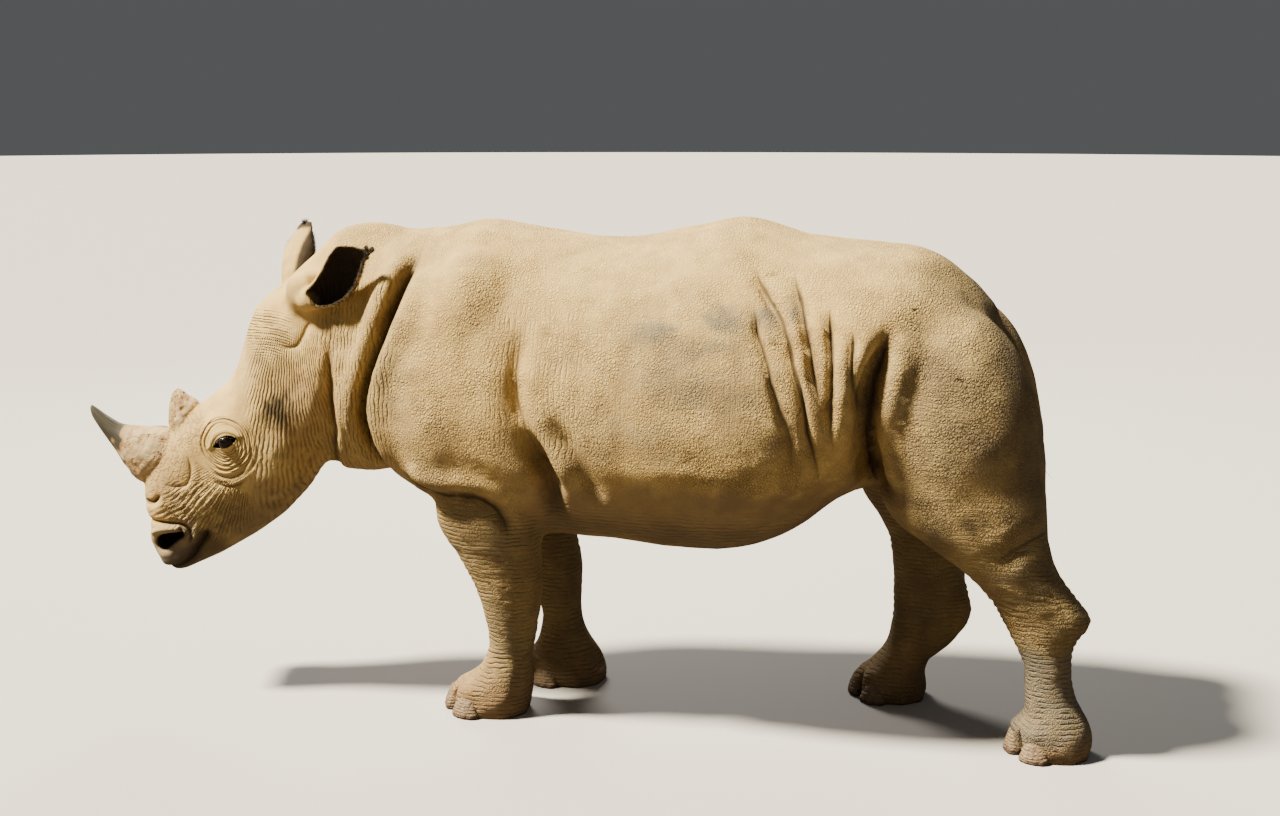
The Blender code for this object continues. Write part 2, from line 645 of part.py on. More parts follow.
# ---- assembly -------------------------------------------------------------------------------------------

def centre_over_origin(pieces):
    """Sets the middle of the model's footprint box over the origin."""
    places = np.array([vertex.co for piece in pieces for vertex in piece.data.vertices])
    low, high = places.min(axis=0), places.max(axis=0)
    shift = Vector((-(low[0] + high[0]) / 2, -(low[1] + high[1]) / 2, -low[2]))
    for piece in pieces:
        piece.data.transform(Matrix.Translation(shift))


def main():
    for old in list(bpy.data.objects):
        bpy.data.objects.remove(old)
    turn = NeckTurn()

    flesh = fuse("trunk", [*trunk_lofts(), *neck_and_head(), *leg_lofts()])
    crease(flesh)
    flatten_soles(flesh)
    turn.mesh(flesh)
    apply(flesh, "DECIMATE", ratio=BODY_TRIANGLES / (2 * len(flesh.data.polygons)))
    flatten_soles(flesh)

    hard = {}
    rooms = {}
    hard["horn_front"] = (turn.mesh(front_horn()), HORN)
    hard["horn_rear"] = (turn.mesh(rear_horn()), HORN)
    for side, sign in SIDES:
        hard[f"eye_{side}"] = (eye(side, sign, turn), EYE)
        ears = ear(side, sign)
        hard[f"ear_{side}"] = (ears[0], HIDE)
        rooms[f"ear_{side}"] = ears[1]
        for end, girths, edges in (("front", FORE_GIRTHS, FORE_EDGES), ("hind", HIND_GIRTHS, HIND_EDGES)):
            level = leg_levels(girths, edges[side])[-2]
            for toe, spread in NAIL_SPREADS:
                name = f"toenail_{end}_{side}_{toe}"
                hard[name] = (toenail(name, level, sign, spread), NAIL)
    hard["tail"] = (tail(), HIDE)
    carve(hard["horn_rear"][0], hard["horn_front"][0])
    for name, (piece, _) in hard.items():
        carve(flesh, rooms.get(name, piece))
    for room in rooms.values():
        bpy.data.objects.remove(room)

    soft = [part_off(flesh, "head", block("head_room", HEAD_ROOM)),
            part_off(flesh, "neck", block("neck_room", NECK_ROOM))]
    for side, sign in SIDES:
        near, far = (sign * reach for reach in LEG_ROOM_SPAN)
        for end, room, rise in (("front", FORE_ROOM, FORE_ROOM_RISE), ("hind", HIND_ROOM, HIND_ROOM_RISE)):
            cutter = block(f"{end}_room", room, near, far, rise)
            soft.append(part_off(flesh, f"leg_{end}_{side}", cutter))
    for name, (piece, look) in hard.items():
        finish(piece, look)
    for piece in (flesh, *soft):
        keep_largest(piece)
        finish(piece, HIDE)
    centre_over_origin([flesh, *soft, *(piece for piece, _ in hard.values())])


main()
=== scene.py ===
"""Looks of a life-size southern white rhinoceros, made as a still museum model.

One hide replaces the solids of flesh: it is wrapped over their copies, softened, creased where the
folds of the body lie, wrinkled, and thinned. Horns, eyes and toenails are pieces of their own, and
the few hairs of the ears, lids and tail are tapered tufts. Metres, +Z up, the head along -X.
"""

import itertools
import json
import logging
import math
from collections.abc import Iterator
from contextlib import contextmanager
from dataclasses import dataclass, field
from enum import Enum
from functools import cache

import bpy
import numpy as np
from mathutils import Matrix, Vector

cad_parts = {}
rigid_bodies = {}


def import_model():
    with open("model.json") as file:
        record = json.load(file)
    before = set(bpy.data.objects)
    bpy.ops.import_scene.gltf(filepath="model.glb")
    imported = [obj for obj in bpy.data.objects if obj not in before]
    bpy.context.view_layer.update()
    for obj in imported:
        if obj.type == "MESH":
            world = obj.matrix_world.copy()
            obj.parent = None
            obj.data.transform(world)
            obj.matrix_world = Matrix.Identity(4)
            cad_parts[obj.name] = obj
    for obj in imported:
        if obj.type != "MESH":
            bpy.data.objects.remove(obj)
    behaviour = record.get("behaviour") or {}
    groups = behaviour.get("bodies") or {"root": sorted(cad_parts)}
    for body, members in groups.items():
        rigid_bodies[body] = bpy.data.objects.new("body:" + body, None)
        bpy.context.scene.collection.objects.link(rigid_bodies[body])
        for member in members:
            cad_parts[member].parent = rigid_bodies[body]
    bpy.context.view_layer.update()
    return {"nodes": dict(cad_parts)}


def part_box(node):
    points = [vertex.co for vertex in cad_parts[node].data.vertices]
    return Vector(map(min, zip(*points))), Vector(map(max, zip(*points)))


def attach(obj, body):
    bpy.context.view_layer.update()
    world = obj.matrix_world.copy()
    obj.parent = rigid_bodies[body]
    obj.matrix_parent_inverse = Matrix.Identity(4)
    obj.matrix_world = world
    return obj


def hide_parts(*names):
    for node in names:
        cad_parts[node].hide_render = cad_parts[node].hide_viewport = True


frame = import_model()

logging.basicConfig(level=logging.INFO, format="%(name)s: %(message)s")
LOG = logging.getLogger("rhinoceros")

Array = np.ndarray
Socket = bpy.types.NodeSocket
Point = tuple[float, float]
Place = tuple[float, float, float]
Colour = tuple[float, float, float]

MERGE = 1e-5  # points closer than this become one
SIDES = (("left", -1.0), ("right", 1.0))
ENDS = ("front", "hind")
TOES = ("inner", "middle", "outer")
LEGS = tuple(f"leg_{end}_{side}" for end in ENDS for side, _ in SIDES)
EARS = tuple(f"ear_{side}" for side, _ in SIDES)
EYES = tuple(f"eye_{side}" for side, _ in SIDES)
NAILS = tuple(f"toenail_{end}_{side}_{toe}" for end in ENDS for side, _ in SIDES for toe in TOES)
FLESH = ("trunk", "neck", "head", "tail", *LEGS, *EARS)

EYE_PLACE = (-1.786, 0.172, 0.903)  # the left eye's centre before the neck turns, y outwards


class Slot(Enum):
    """The material slots of the record."""

    HIDE = "hide"
    HORN = "horn"
    NAIL = "nail"
    EYE = "eye"


# ---- small helpers ----

def falloff(distance: Array, near: float, far: float) -> Array:
    """Falls smoothly from 1 at near to 0 at far.

    Args:
        distance: the values to grade.
        near: where the result is still 1.
        far: where the result has become 0.

    Returns:
        An array of the same length, between 0 and 1.
    """
    part = np.clip((far - distance) / (far - near), 0, 1)
    return part * part * (3 - 2 * part)


def rise(distance: Array, near: float, far: float) -> Array:
    """Rises smoothly from 0 at near to 1 at far."""
    return falloff(-distance, -far, -near)


def bell(distance: Array, width: float) -> Array:
    """A rounded bump of height 1 and the given half width."""
    return np.exp(-(distance / width) ** 2)


def unit(rows: Array) -> Array:
    """The rows, each at a length of 1."""
    return rows / np.linalg.norm(rows, axis=1)[:, None]


def to_segment(points: Array, start: Array, end: Array) -> tuple[Array, Array]:
    """Finds how points lie to a straight run.

    Args:
        points: the points, one row each.
        start: where the run begins.
        end: where it ends.

    Returns:
        How far along the run each point lies, between 0 and 1, and its distance from it.
    """
    run = end - start
    offset = points - start
    part = np.clip(offset @ run / (run @ run), 0, 1)
    return part, np.linalg.norm(offset - part[:, None] * run, axis=1)


HASH = np.array([374761393, 668265263, 1440662683], dtype=np.int64)


def value_noise(points: Array, cell: float | tuple[float, ...], seed: int) -> Array:
    """Smooth random values between -1 and 1, which are the same on each run.

    Args:
        points: places, one row each.
        cell: the length over which the values change, one for all axes or one for each.
        seed: picks another pattern.

    Returns:
        One value for each place.
    """
    scaled = points / np.asarray(cell) + 500.0 + 31.7 * seed
    base = np.floor(scaled).astype(np.int64)
    part = scaled - base
    part = part * part * (3 - 2 * part)
    total = np.zeros(len(points))
    for corner in itertools.product((0, 1), repeat=3):
        key = (base + corner) @ HASH
        key ^= key >> 13
        key = key * 1274126177 & 0x7FFFFFFFFFFF
        key ^= key >> 16
        weight = np.prod(np.where(corner, part, 1 - part), axis=1)
        total += weight * ((key & 0xFFFF) / 32767.5 - 1)
    return total


def smooth_run(points: tuple[Point, ...], steps: int = 6) -> Array:
    """A smooth run through the given points.

    Args:
        points: the points, in order.
        steps: how many rows each span between two of them gives.

    Returns:
        The run, one row for each step.
    """
    rows = np.array(points, float)
    ends = np.vstack([2 * rows[0] - rows[1], rows, 2 * rows[-1] - rows[-2]])
    out = []
    for a, b, c, d in zip(ends, ends[1:], ends[2:], ends[3:]):
        for t in np.arange(steps) / steps:
            out.append(0.5 * (2 * b + (c - a) * t + (2 * a - 5 * b + 4 * c - d) * t * t
                              + (3 * b - a - 3 * c + d) * t ** 3))
    return np.array([*out, rows[-1]])


def alone(made: bpy.types.Object) -> None:
    """Selects only this object and makes it the active one.

    Args:
        made: the object.
    """
    for other in bpy.context.scene.objects:
        other.select_set(other == made)
    bpy.context.view_layer.objects.active = made


@contextmanager
def editing(made: bpy.types.Object) -> Iterator[None]:
    """Edit mode on this object alone.

    Args:
        made: the object.

    Returns:
        Nothing: the mesh is open inside the with block.
    """
    alone(made)
    bpy.ops.object.mode_set(mode="EDIT")
    yield
    bpy.ops.object.mode_set(mode="OBJECT")


def apply(made: bpy.types.Object, kind: str, **settings: object) -> None:
    """Adds a modifier and applies it.

    Args:
        made: the object.
        kind: the modifier's type.
        settings: the values that it gets, by their names.
    """
    modifier = made.modifiers.new(kind.lower(), kind)
    for name, value in settings.items():
        setattr(modifier, name, value)
    alone(made)
    bpy.ops.object.modifier_apply(modifier=modifier.name)


def cad_copy(node: str, name: str) -> bpy.types.Object:
    """Copies a CAD node's mesh and merges its loose triangles.

    Args:
        node: the node's name.
        name: the copy's name.

    Returns:
        The copy, an object of its own.
    """
    made = bpy.data.objects.new(name, frame["nodes"][node].data.copy())
    bpy.context.scene.collection.objects.link(made)
    made.data.materials.clear()
    alone(made)
    bpy.ops.mesh.customdata_custom_splitnormals_clear()
    with editing(made):
        bpy.ops.mesh.select_all(action="SELECT")
        bpy.ops.mesh.remove_doubles(threshold=MERGE)
    return made


def oval(x: Array, z: Array, middle: Point, reach: Point) -> Array:
    """How far places of the side view are from an oval's middle: 1 on its edge."""
    return np.hypot((x - middle[0]) / reach[0], (z - middle[1]) / reach[1])


def rows_of(items: bpy.types.bpy_prop_collection, what: str) -> Array:
    """The three numbers that each item holds under this name, one row each.

    Args:
        items: the mesh's items.
        what: the name.

    Returns:
        An array of rows of three.
    """
    flat = np.empty(len(items) * 3, np.float32)
    items.foreach_get(what, flat)
    return flat.reshape(-1, 3).astype(float)


def places_of(mesh: bpy.types.Mesh) -> Array:
    """The mesh's points, one row each."""
    return rows_of(mesh.vertices, "co")


def set_places(mesh: bpy.types.Mesh, places: Array) -> None:
    """Moves the mesh's points."""
    mesh.vertices.foreach_set("co", places.astype(np.float32).ravel())
    mesh.update()


def normals_of(mesh: bpy.types.Mesh) -> Array:
    """The mesh's normals at its points, one row each."""
    return rows_of(mesh.vertex_normals, "vector")


def write_mark(mesh: bpy.types.Mesh, name: str, values: Array) -> None:
    """Keeps one value for each of the mesh's points, which a finish reads by this name."""
    layer = mesh.attributes.new(name, "FLOAT", "POINT")
    layer.data.foreach_set("value", values.astype(np.float32))


def box_centre(node: str) -> Vector:
    """The middle of a CAD node's box."""
    low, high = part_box(node)
    return (low + high) / 2


# ---- the straight animal and its turned neck ----

@dataclass
class NeckTurn:
    """Turns places of the straight animal, which the folds are drawn on, into the model's, and back."""

    start: float = -1.10
    end: float = -1.62
    turn: float = math.radians(13.0)
    stations: Array = field(init=False)
    angles: Array = field(init=False)
    line: Array = field(init=False)
    shift: Array = field(init=False)

    def __post_init__(self) -> None:
        """Walks along the neck's midline, and finds the model's shift from where the left eye is."""
        self.stations = np.linspace(self.start, -2.6, 600)
        part = np.clip((self.start - self.stations) / (self.start - self.end), 0, 1)
        self.angles = self.turn * part * part * (3 - 2 * part)
        step = self.stations[0] - self.stations[1]
        ahead = np.concatenate([[0], np.cumsum(np.cos(self.angles[:-1]) * step)])
        aside = np.concatenate([[0], np.cumsum(np.sin(self.angles[:-1]) * step)])
        self.line = np.column_stack([self.start - ahead, -aside])
        self.shift = np.zeros(3)
        x, y, z = EYE_PLACE
        self.shift = np.array(box_centre("eye_left")) - self.turned(np.array([[x, -y, z]]))[0]
        self.shift[2] = 0.0

    def at(self, x: Array) -> tuple[Array, Array, Array]:
        """Reads the neck's bend.

        Args:
            x: stations of the straight animal.

        Returns:
            The heading there, and the midline's x and y.
        """
        order = -self.stations
        return (np.interp(-x, order, self.angles), np.interp(-x, order, self.line[:, 0]),
                np.interp(-x, order, self.line[:, 1]))

    def turned(self, places: Array) -> Array:
        """Places in the model, for places in the straight animal.

        Args:
            places: the places to look at.

        Returns:
            Their places in the model.
        """
        ahead = np.minimum(places[:, 0], self.start)
        angle, x, y = self.at(ahead)
        return np.column_stack([x - np.sin(angle) * places[:, 1] + places[:, 0] - ahead,
                                y + np.cos(angle) * places[:, 1], places[:, 2]]) + self.shift

    def straight(self, places: Array) -> Array:
        """Places in the straight animal, for places in the model.

        Args:
            places: the places to look at.

        Returns:
            Their places in the straight animal.
        """
        moved = places - self.shift
        station = moved[:, 0].copy()
        for _ in range(8):
            angle, x, y = self.at(np.minimum(station, self.start))
            ahead = (moved[:, 0] - x) * np.cos(angle) + (moved[:, 1] - y) * np.sin(angle)
            station = np.where(station < self.start, station + ahead, moved[:, 0])
            station = np.where((station >= self.start) & (moved[:, 0] < self.start),
                               self.start - 1e-6, station)
        angle, x, y = self.at(np.minimum(station, self.start))
        across = (moved[:, 1] - y) * np.cos(angle) - (moved[:, 0] - x) * np.sin(angle)
        across = np.where(station < self.start, across, moved[:, 1])
        return np.column_stack([station, across, moved[:, 2]])


# ---- the relief of the hide ----

WAVER, WAVER_CELL = 0.0032, 0.050  # how far a fold strays from its path, and over what length
FAR_OFF = 9.0  # farther than anything on the animal


class Flank(Enum):
    """The side of the body that a fold is on."""

    LEFT = -1
    RIGHT = 1
    BOTH = 0


@dataclass(frozen=True)
class Fold:
    """A fold of the hide: a groove along a path of the straight side view, with a roll on each hand."""

    path: tuple[Point, ...]
    depth: float
    width: float
    before: float = 0.0  # height of the roll towards the head, or below a path that runs back
    after: float = 0.0  # height of the roll towards the tail, or above it
    reach: float = 2.6  # how far the rolls lie from the groove, in its widths
    echo: float = 0.0  # how far apart two finer grooves run beside it
    flank: Flank = Flank.BOTH
    turned: bool = False  # swaps its hands, so that distances stay smooth between neighbours
    fade: float = 0.16  # share of its length over which each end runs out
    sharp: float = 1.0  # 1 is a sharp crease between pillows, 2 a round furrow
    dark: float = 0.8  # how dark its bottom is painted, as painted shade
    pillow: float = 0.0  # how far off the hide starts to round down into it, in place of the width
    hollow_shade: float = 0.0  # how far off the painted shade of its hollow reaches
    shade_strength: float = 0.7  # how dark that painted shade is

    def measure(self, x: Array, z: Array) -> tuple[Array, Array, Array, Array]:
        """Finds the places near the fold and how they lie to it.

        Args:
            x: stations of the side view.
            z: heights of the side view.

        Returns:
            Their indices, their distances, the same with the hand's sign, and how far the fold's ends
            let it show.
        """
        line = smooth_run(self.path)
        reach = self.width * (self.reach + 4) + 2 * self.echo
        low, high = line.min(axis=0) - reach, line.max(axis=0) + reach
        near = np.flatnonzero((x > low[0]) & (x < high[0]) & (z > low[1]) & (z < high[1]))
        points = np.column_stack([x[near], z[near]])
        level = np.column_stack([points[:, 0], np.zeros(len(near)), points[:, 1]])
        points = points + np.column_stack([WAVER * value_noise(level, WAVER_CELL, seed) for seed in (3, 4)])
        best = np.full(len(near), FAR_OFF)
        along = np.zeros(len(near))
        hand = np.zeros(len(near))
        for i, (start, end) in enumerate(zip(line, line[1:])):
            part, distance = to_segment(points, start, end)
            nearer = distance < best
            best[nearer] = distance[nearer]
            along[nearer] = (i + part[nearer]) / (len(line) - 1)
            run, offset = end - start, points[nearer] - start
            hand[nearer] = np.sign(run[0] * offset[:, 1] - run[1] * offset[:, 0])
        ends = falloff(self.fade - np.minimum(along, 1 - along), 0.0, self.fade)
        return near, best, best * hand, ends

    def on_flank(self, y: Array) -> Array:
        """True on the flanks that the fold is on."""
        return (self.flank is Flank.BOTH) | (np.sign(y) == self.flank.value)

    def relief(self, x: Array, z: Array) -> Array:
        """How far the hide stands out.

        Args:
            x: stations of the side view.
            z: heights of the side view.

        Returns:
            The height over the smooth hide at each place.
        """
        out = np.zeros(len(x))
        near, best, away, ends = self.measure(x, z)
        place = self.reach * self.width
        made = -self.depth * np.exp(-(best / self.width) ** self.sharp)
        if self.pillow:
            reach = self.pillow * (0.3 + 0.7 * ends)
            made = -self.depth * (1 - np.clip(best / reach, 0, 1)) ** 2.5
        made += self.before * bell(away + place, 0.75 * place)
        made += self.after * bell(away - place, 0.75 * place)
        if self.echo:
            for times, share in ((1, 0.45), (2, 0.25), (-1, 0.4), (-2, 0.2)):
                made -= share * self.depth * bell(away - times * self.echo, 0.26 * self.echo)
        out[near] = made * ends
        return out


@dataclass(frozen=True)
class Wrinkles:
    """A patch of wrinkles side by side, which run at one angle or fan out from a point."""

    centre: Point
    reach: Point
    angle: float  # of the lines over level, in degrees, in the side view
    spacing: float
    depth: float
    seed: int = 1
    fan: Point | None = None  # the point that they fan out from, in place of the angle
    round_fan: bool = False  # rings round that point instead of rays
    waver: float = 0.55

    def strength(self, x: Array, z: Array) -> Array:
        """Where the patch lies, between 0 and 1."""
        away = np.hypot((x - self.centre[0]) / self.reach[0], (z - self.centre[1]) / self.reach[1])
        return falloff(away, 0.55, 1.0)

    def sheet(self, x: Array, z: Array) -> tuple[Array, Array]:
        """Unrolls the side view along the wrinkles.

        Args:
            x: stations of the side view.
            z: heights of the side view.

        Returns:
            Distances along the wrinkles and across them.
        """
        if self.fan is None:
            turn = math.radians(self.angle)
            return x * math.cos(turn) + z * math.sin(turn), z * math.cos(turn) - x * math.sin(turn)
        radius = np.hypot(x - self.fan[0], z - self.fan[1])
        turn = np.arctan2(z - self.fan[1], x - self.fan[0]) % (2 * math.pi)
        middle = math.hypot(self.centre[0] - self.fan[0], self.centre[1] - self.fan[1])
        return (turn * middle, radius) if self.round_fan else (radius, turn * middle)

    def relief(self, places: Array) -> Array:
        """How far the hide stands out.

        Args:
            places: places in the straight animal.

        Returns:
            The height over the smooth hide at each place.
        """
        shown = self.strength(places[:, 0], places[:, 2])
        near = np.flatnonzero(shown > 0)
        out = np.zeros(len(places))
        x, y, z = places[near].T
        along, across = self.sheet(x, z)
        cloth = np.column_stack([along, y, across])
        phase = across / self.spacing + self.waver * value_noise(cloth, 4.5 * self.spacing, self.seed)
        phase += 0.35 * self.waver * value_noise(cloth, 1.8 * self.spacing, self.seed + 1)
        loud = 0.65 + 0.5 * value_noise(cloth, (7 * self.spacing, 5 * self.spacing, 2 * self.spacing),
                                        self.seed + 2)
        lines = np.abs(np.sin(math.pi * phase)) ** 0.75
        out[near] = self.depth * shown[near] * np.clip(loud, 0, 1.2) * (lines - 0.68)
        return out


BODY_FOLDS = (
    # between neck and shoulder, with the roll of the neck ahead of it
    Fold(((-1.06, 1.575), (-1.104, 1.467), (-1.135, 1.373), (-1.176, 1.266), (-1.232, 1.14),
          (-1.257, 1.031), (-1.239, 0.942), (-1.205, 0.86), (-1.185, 0.79)),
         0.046, 0.017, before=0.018, after=0.014, reach=3.0, sharp=1.4, dark=0.9, hollow_shade=0.044, shade_strength=0.9),
    # behind the jaw, from under the ear to the throat, and the short one behind it
    Fold(((-1.405, 1.27), (-1.404, 1.16), (-1.404, 1.056), (-1.400, 0.95), (-1.412, 0.87),
          (-1.430, 0.80), (-1.445, 0.73)), 0.022, 0.015, after=0.012, dark=0.5, hollow_shade=0.020, shade_strength=0.45),
    Fold(((-1.385, 1.22), (-1.362, 1.12), (-1.348, 1.03), (-1.345, 0.95), (-1.352, 0.88)),
         0.009, 0.010, dark=0.3, fade=0.4),
    # behind the shoulder, down to the armpit
    Fold(((-0.672, 1.40), (-0.680, 1.235), (-0.684, 1.139), (-0.672, 1.075), (-0.647, 1.002),
          (-0.605, 0.916), (-0.56, 0.845), (-0.52, 0.78)),
         0.016, 0.016, before=0.003, after=0.010, reach=3.2, echo=0.017, sharp=1.2, dark=0.45),
    # the armpit, and the hollow behind the flap of the elbow
    Fold(((-0.660, 1.03), (-0.628, 0.95), (-0.592, 0.87), (-0.575, 0.80), (-0.572, 0.73), (-0.58, 0.64)),
         0.060, 0.038, sharp=1.7, dark=0.2, fade=0.3, hollow_shade=0.060, shade_strength=0.85),
    Fold(((-0.575, 1.09), (-0.53, 1.00), (-0.48, 0.915), (-0.43, 0.83), (-0.39, 0.75)),
         0.036, 0.036, before=0.008, after=0.003, sharp=1.8, dark=0.0, fade=0.3, hollow_shade=0.034, shade_strength=0.35),
    # five creases of the loose flank and the deep one ahead of the thigh
    Fold(((0.066, 1.450), (0.082, 1.393), (0.095, 1.341), (0.126, 1.25), (0.162, 1.143),
          (0.194, 1.051), (0.206, 0.965), (0.212, 0.90)), 0.028, 0.019, dark=0.6, pillow=0.037,
         fade=0.3, hollow_shade=0.010, shade_strength=0.5),
    Fold(((0.060, 1.545), (0.085, 1.494), (0.116, 1.45), (0.172, 1.36), (0.204, 1.254),
          (0.236, 1.147), (0.253, 1.04), (0.276, 0.932), (0.285, 0.87)), 0.037, 0.021, dark=0.8,
         turned=True, pillow=0.037, fade=0.25, hollow_shade=0.012, shade_strength=0.5),
    Fold(((0.180, 1.54), (0.202, 1.481), (0.222, 1.421), (0.241, 1.345), (0.26, 1.269),
          (0.277, 1.193), (0.296, 1.10)), 0.031, 0.018, dark=0.75, pillow=0.035, fade=0.3,
         hollow_shade=0.011, shade_strength=0.5),
    Fold(((0.306, 1.43), (0.312, 1.376), (0.319, 1.30), (0.322, 1.178), (0.320, 1.085),
          (0.331, 0.96)), 0.032, 0.019, dark=0.75, turned=True, pillow=0.035, fade=0.3,
         hollow_shade=0.011, shade_strength=0.5),
    Fold(((0.378, 1.36), (0.382, 1.316), (0.383, 1.239), (0.394, 1.148), (0.392, 1.06)),
         0.027, 0.018, dark=0.65, pillow=0.035, fade=0.3, hollow_shade=0.010, shade_strength=0.5),
    Fold(((0.500, 1.38), (0.461, 1.267), (0.438, 1.189), (0.428, 1.111), (0.424, 1.017),
          (0.433, 0.892), (0.475, 0.79)), 0.070, 0.024, before=0.010, after=0.017, sharp=1.4, dark=1.0,
         turned=True, hollow_shade=0.034, shade_strength=0.95),
    Fold(((0.436, 1.03), (0.448, 0.93), (0.480, 0.86), (0.530, 0.79)), 0.022, 0.036, sharp=1.8, dark=0.0,
         fade=0.3, hollow_shade=0.046, shade_strength=0.6),
    # the shoulder's heavy lower edge, which hangs over the foreleg
    Fold(((-1.10, 0.832), (-1.06, 0.808), (-1.02, 0.790), (-0.949, 0.772), (-0.875, 0.772),
          (-0.80, 0.755), (-0.748, 0.700), (-0.728, 0.62)),
         0.028, 0.017, after=0.019, reach=2.8, sharp=1.4, dark=0.7, hollow_shade=0.026, shade_strength=0.55),
    # the knees, over the shanks
    Fold(((1.01, 0.752), (0.972, 0.727), (0.928, 0.712), (0.869, 0.677), (0.82, 0.640)),
         0.016, 0.020, before=0.004, after=0.008, sharp=1.3, dark=0.55, flank=Flank.LEFT),
    Fold(((0.77, 0.738), (0.735, 0.72), (0.69, 0.70), (0.63, 0.668), (0.585, 0.635)),
         0.016, 0.020, before=0.004, after=0.008, sharp=1.3, dark=0.55, flank=Flank.RIGHT),
)
HEAD_FOLDS = (
    # under the base of the front horn
    Fold(((-2.10, 0.682), (-2.060, 0.682), (-2.025, 0.712)), 0.020, 0.009, before=0.004, fade=0.3,
         dark=0.9),
    # over the nostril's wing and down behind it
    Fold(((-2.095, 0.622), (-2.04, 0.616), (-1.98, 0.613), (-1.942, 0.596), (-1.930, 0.566),
          (-1.938, 0.532)), 0.012, 0.006, before=0.005, after=0.003, dark=0.6),
    Fold(((-1.970, 0.604), (-1.957, 0.578), (-1.956, 0.550)), 0.014, 0.007, before=0.004, fade=0.3,
         dark=0.9),
    # the mouth
    Fold(((-2.045, 0.446), (-1.985, 0.452), (-1.937, 0.483), (-1.911, 0.522), (-1.885, 0.560),
          (-1.860, 0.598)), 0.026, 0.010, before=0.006, after=0.008, sharp=1.3, dark=0.7, hollow_shade=0.040,
         shade_strength=0.95),
    # bags under the eye
    Fold(((-1.850, 0.800), (-1.815, 0.782), (-1.775, 0.780), (-1.735, 0.802), (-1.703, 0.845)),
         0.007, 0.006, before=0.003, fade=0.3, dark=0.5),
    Fold(((-1.870, 0.778), (-1.81, 0.752), (-1.755, 0.756), (-1.70, 0.796)), 0.007, 0.007, fade=0.3,
         dark=0.45),
    # the nose's smooth side plate, edged below and behind
    Fold(((-2.03, 0.748), (-1.975, 0.738), (-1.932, 0.752), (-1.920, 0.80), (-1.930, 0.86)),
         0.006, 0.007, before=0.003, fade=0.25, dark=0.3),
    # under the ears' roots
    Fold(((-1.62, 1.245), (-1.57, 1.225), (-1.53, 1.24), (-1.50, 1.29), (-1.47, 1.325)),
         0.014, 0.016, fade=0.3, dark=0.5),
)
TEMPLE = (-1.700, 0.900)  # what the muzzle's wrinkles fan out from
POLL = (-1.560, 1.560)  # what the cheek's and the neck's hang from
WRINKLES = (
    Wrinkles((-1.32, 1.12), (0.14, 0.44), 0.0, 0.021, 0.0080, 11, fan=(-1.36, 2.2)),  # neck
    Wrinkles((-1.20, 1.20), (0.08, 0.33), 76.0, 0.024, 0.0030, 14),  # its roll
    Wrinkles((-1.640, 1.275), (0.095, 0.085), 0.0, 0.017, 0.0055, 17, fan=(-1.66, 0.98),
             round_fan=True),  # forehead
    Wrinkles((-1.57, 0.86), (0.16, 0.26), 0.0, 0.017, 0.0034, 20, fan=POLL),  # cheek
    Wrinkles((-1.84, 0.67), (0.17, 0.15), 0.0, 0.019, 0.0068, 23, fan=TEMPLE, waver=0.7),  # muzzle
    Wrinkles((-2.00, 0.655), (0.11, 0.040), 24.0, 0.014, 0.0045, 26),  # over the nostril
    Wrinkles((-0.83, 0.40), (0.34, 0.30), 0.0, 0.021, 0.0052, 29),  # forelegs
    Wrinkles((-0.90, 0.72), (0.24, 0.10), -40.0, 0.022, 0.0030, 32),  # forearms
    Wrinkles((0.99, 0.42), (0.34, 0.25), -8.0, 0.021, 0.0062, 35),  # left shank
    Wrinkles((0.60, 0.42), (0.32, 0.25), 4.0, 0.021, 0.0062, 38),  # right shank
    Wrinkles((0.60, 1.05), (0.34, 0.34), 6.0, 0.032, 0.0024, 41, waver=0.9),  # thigh
    Wrinkles((0.84, 0.70), (0.22, 0.09), 32.0, 0.024, 0.0042, 44),  # knee
    Wrinkles((0.05, 0.91), (0.36, 0.11), 4.0, 0.026, 0.0046, 47, waver=0.9),  # lower flank
    Wrinkles((-0.66, 1.12), (0.07, 0.26), 96.0, 0.020, 0.0028, 50),  # behind the shoulder
    Wrinkles((-0.88, 0.85), (0.28, 0.08), 4.0, 0.021, 0.0034, 53, waver=0.9),  # shoulder's edge
)


@dataclass(frozen=True)
class Pit:
    """A nostril: a round hole in the side of the muzzle with a narrower one running up and back."""

    front: Point = (-2.022, 0.545)
    rear: Point = (-1.972, 0.566)
    front_radius: float = 0.031
    rear_radius: float = 0.017
    depth: float = 0.050

    def edge(self, x: Array, z: Array) -> Array:
        """How far each place lies outside the rim, below 0 within it."""
        part, away = to_segment(np.column_stack([x, z]), np.array(self.front), np.array(self.rear))
        return away - (self.front_radius + (self.rear_radius - self.front_radius) * part)


NOSTRIL = Pit()


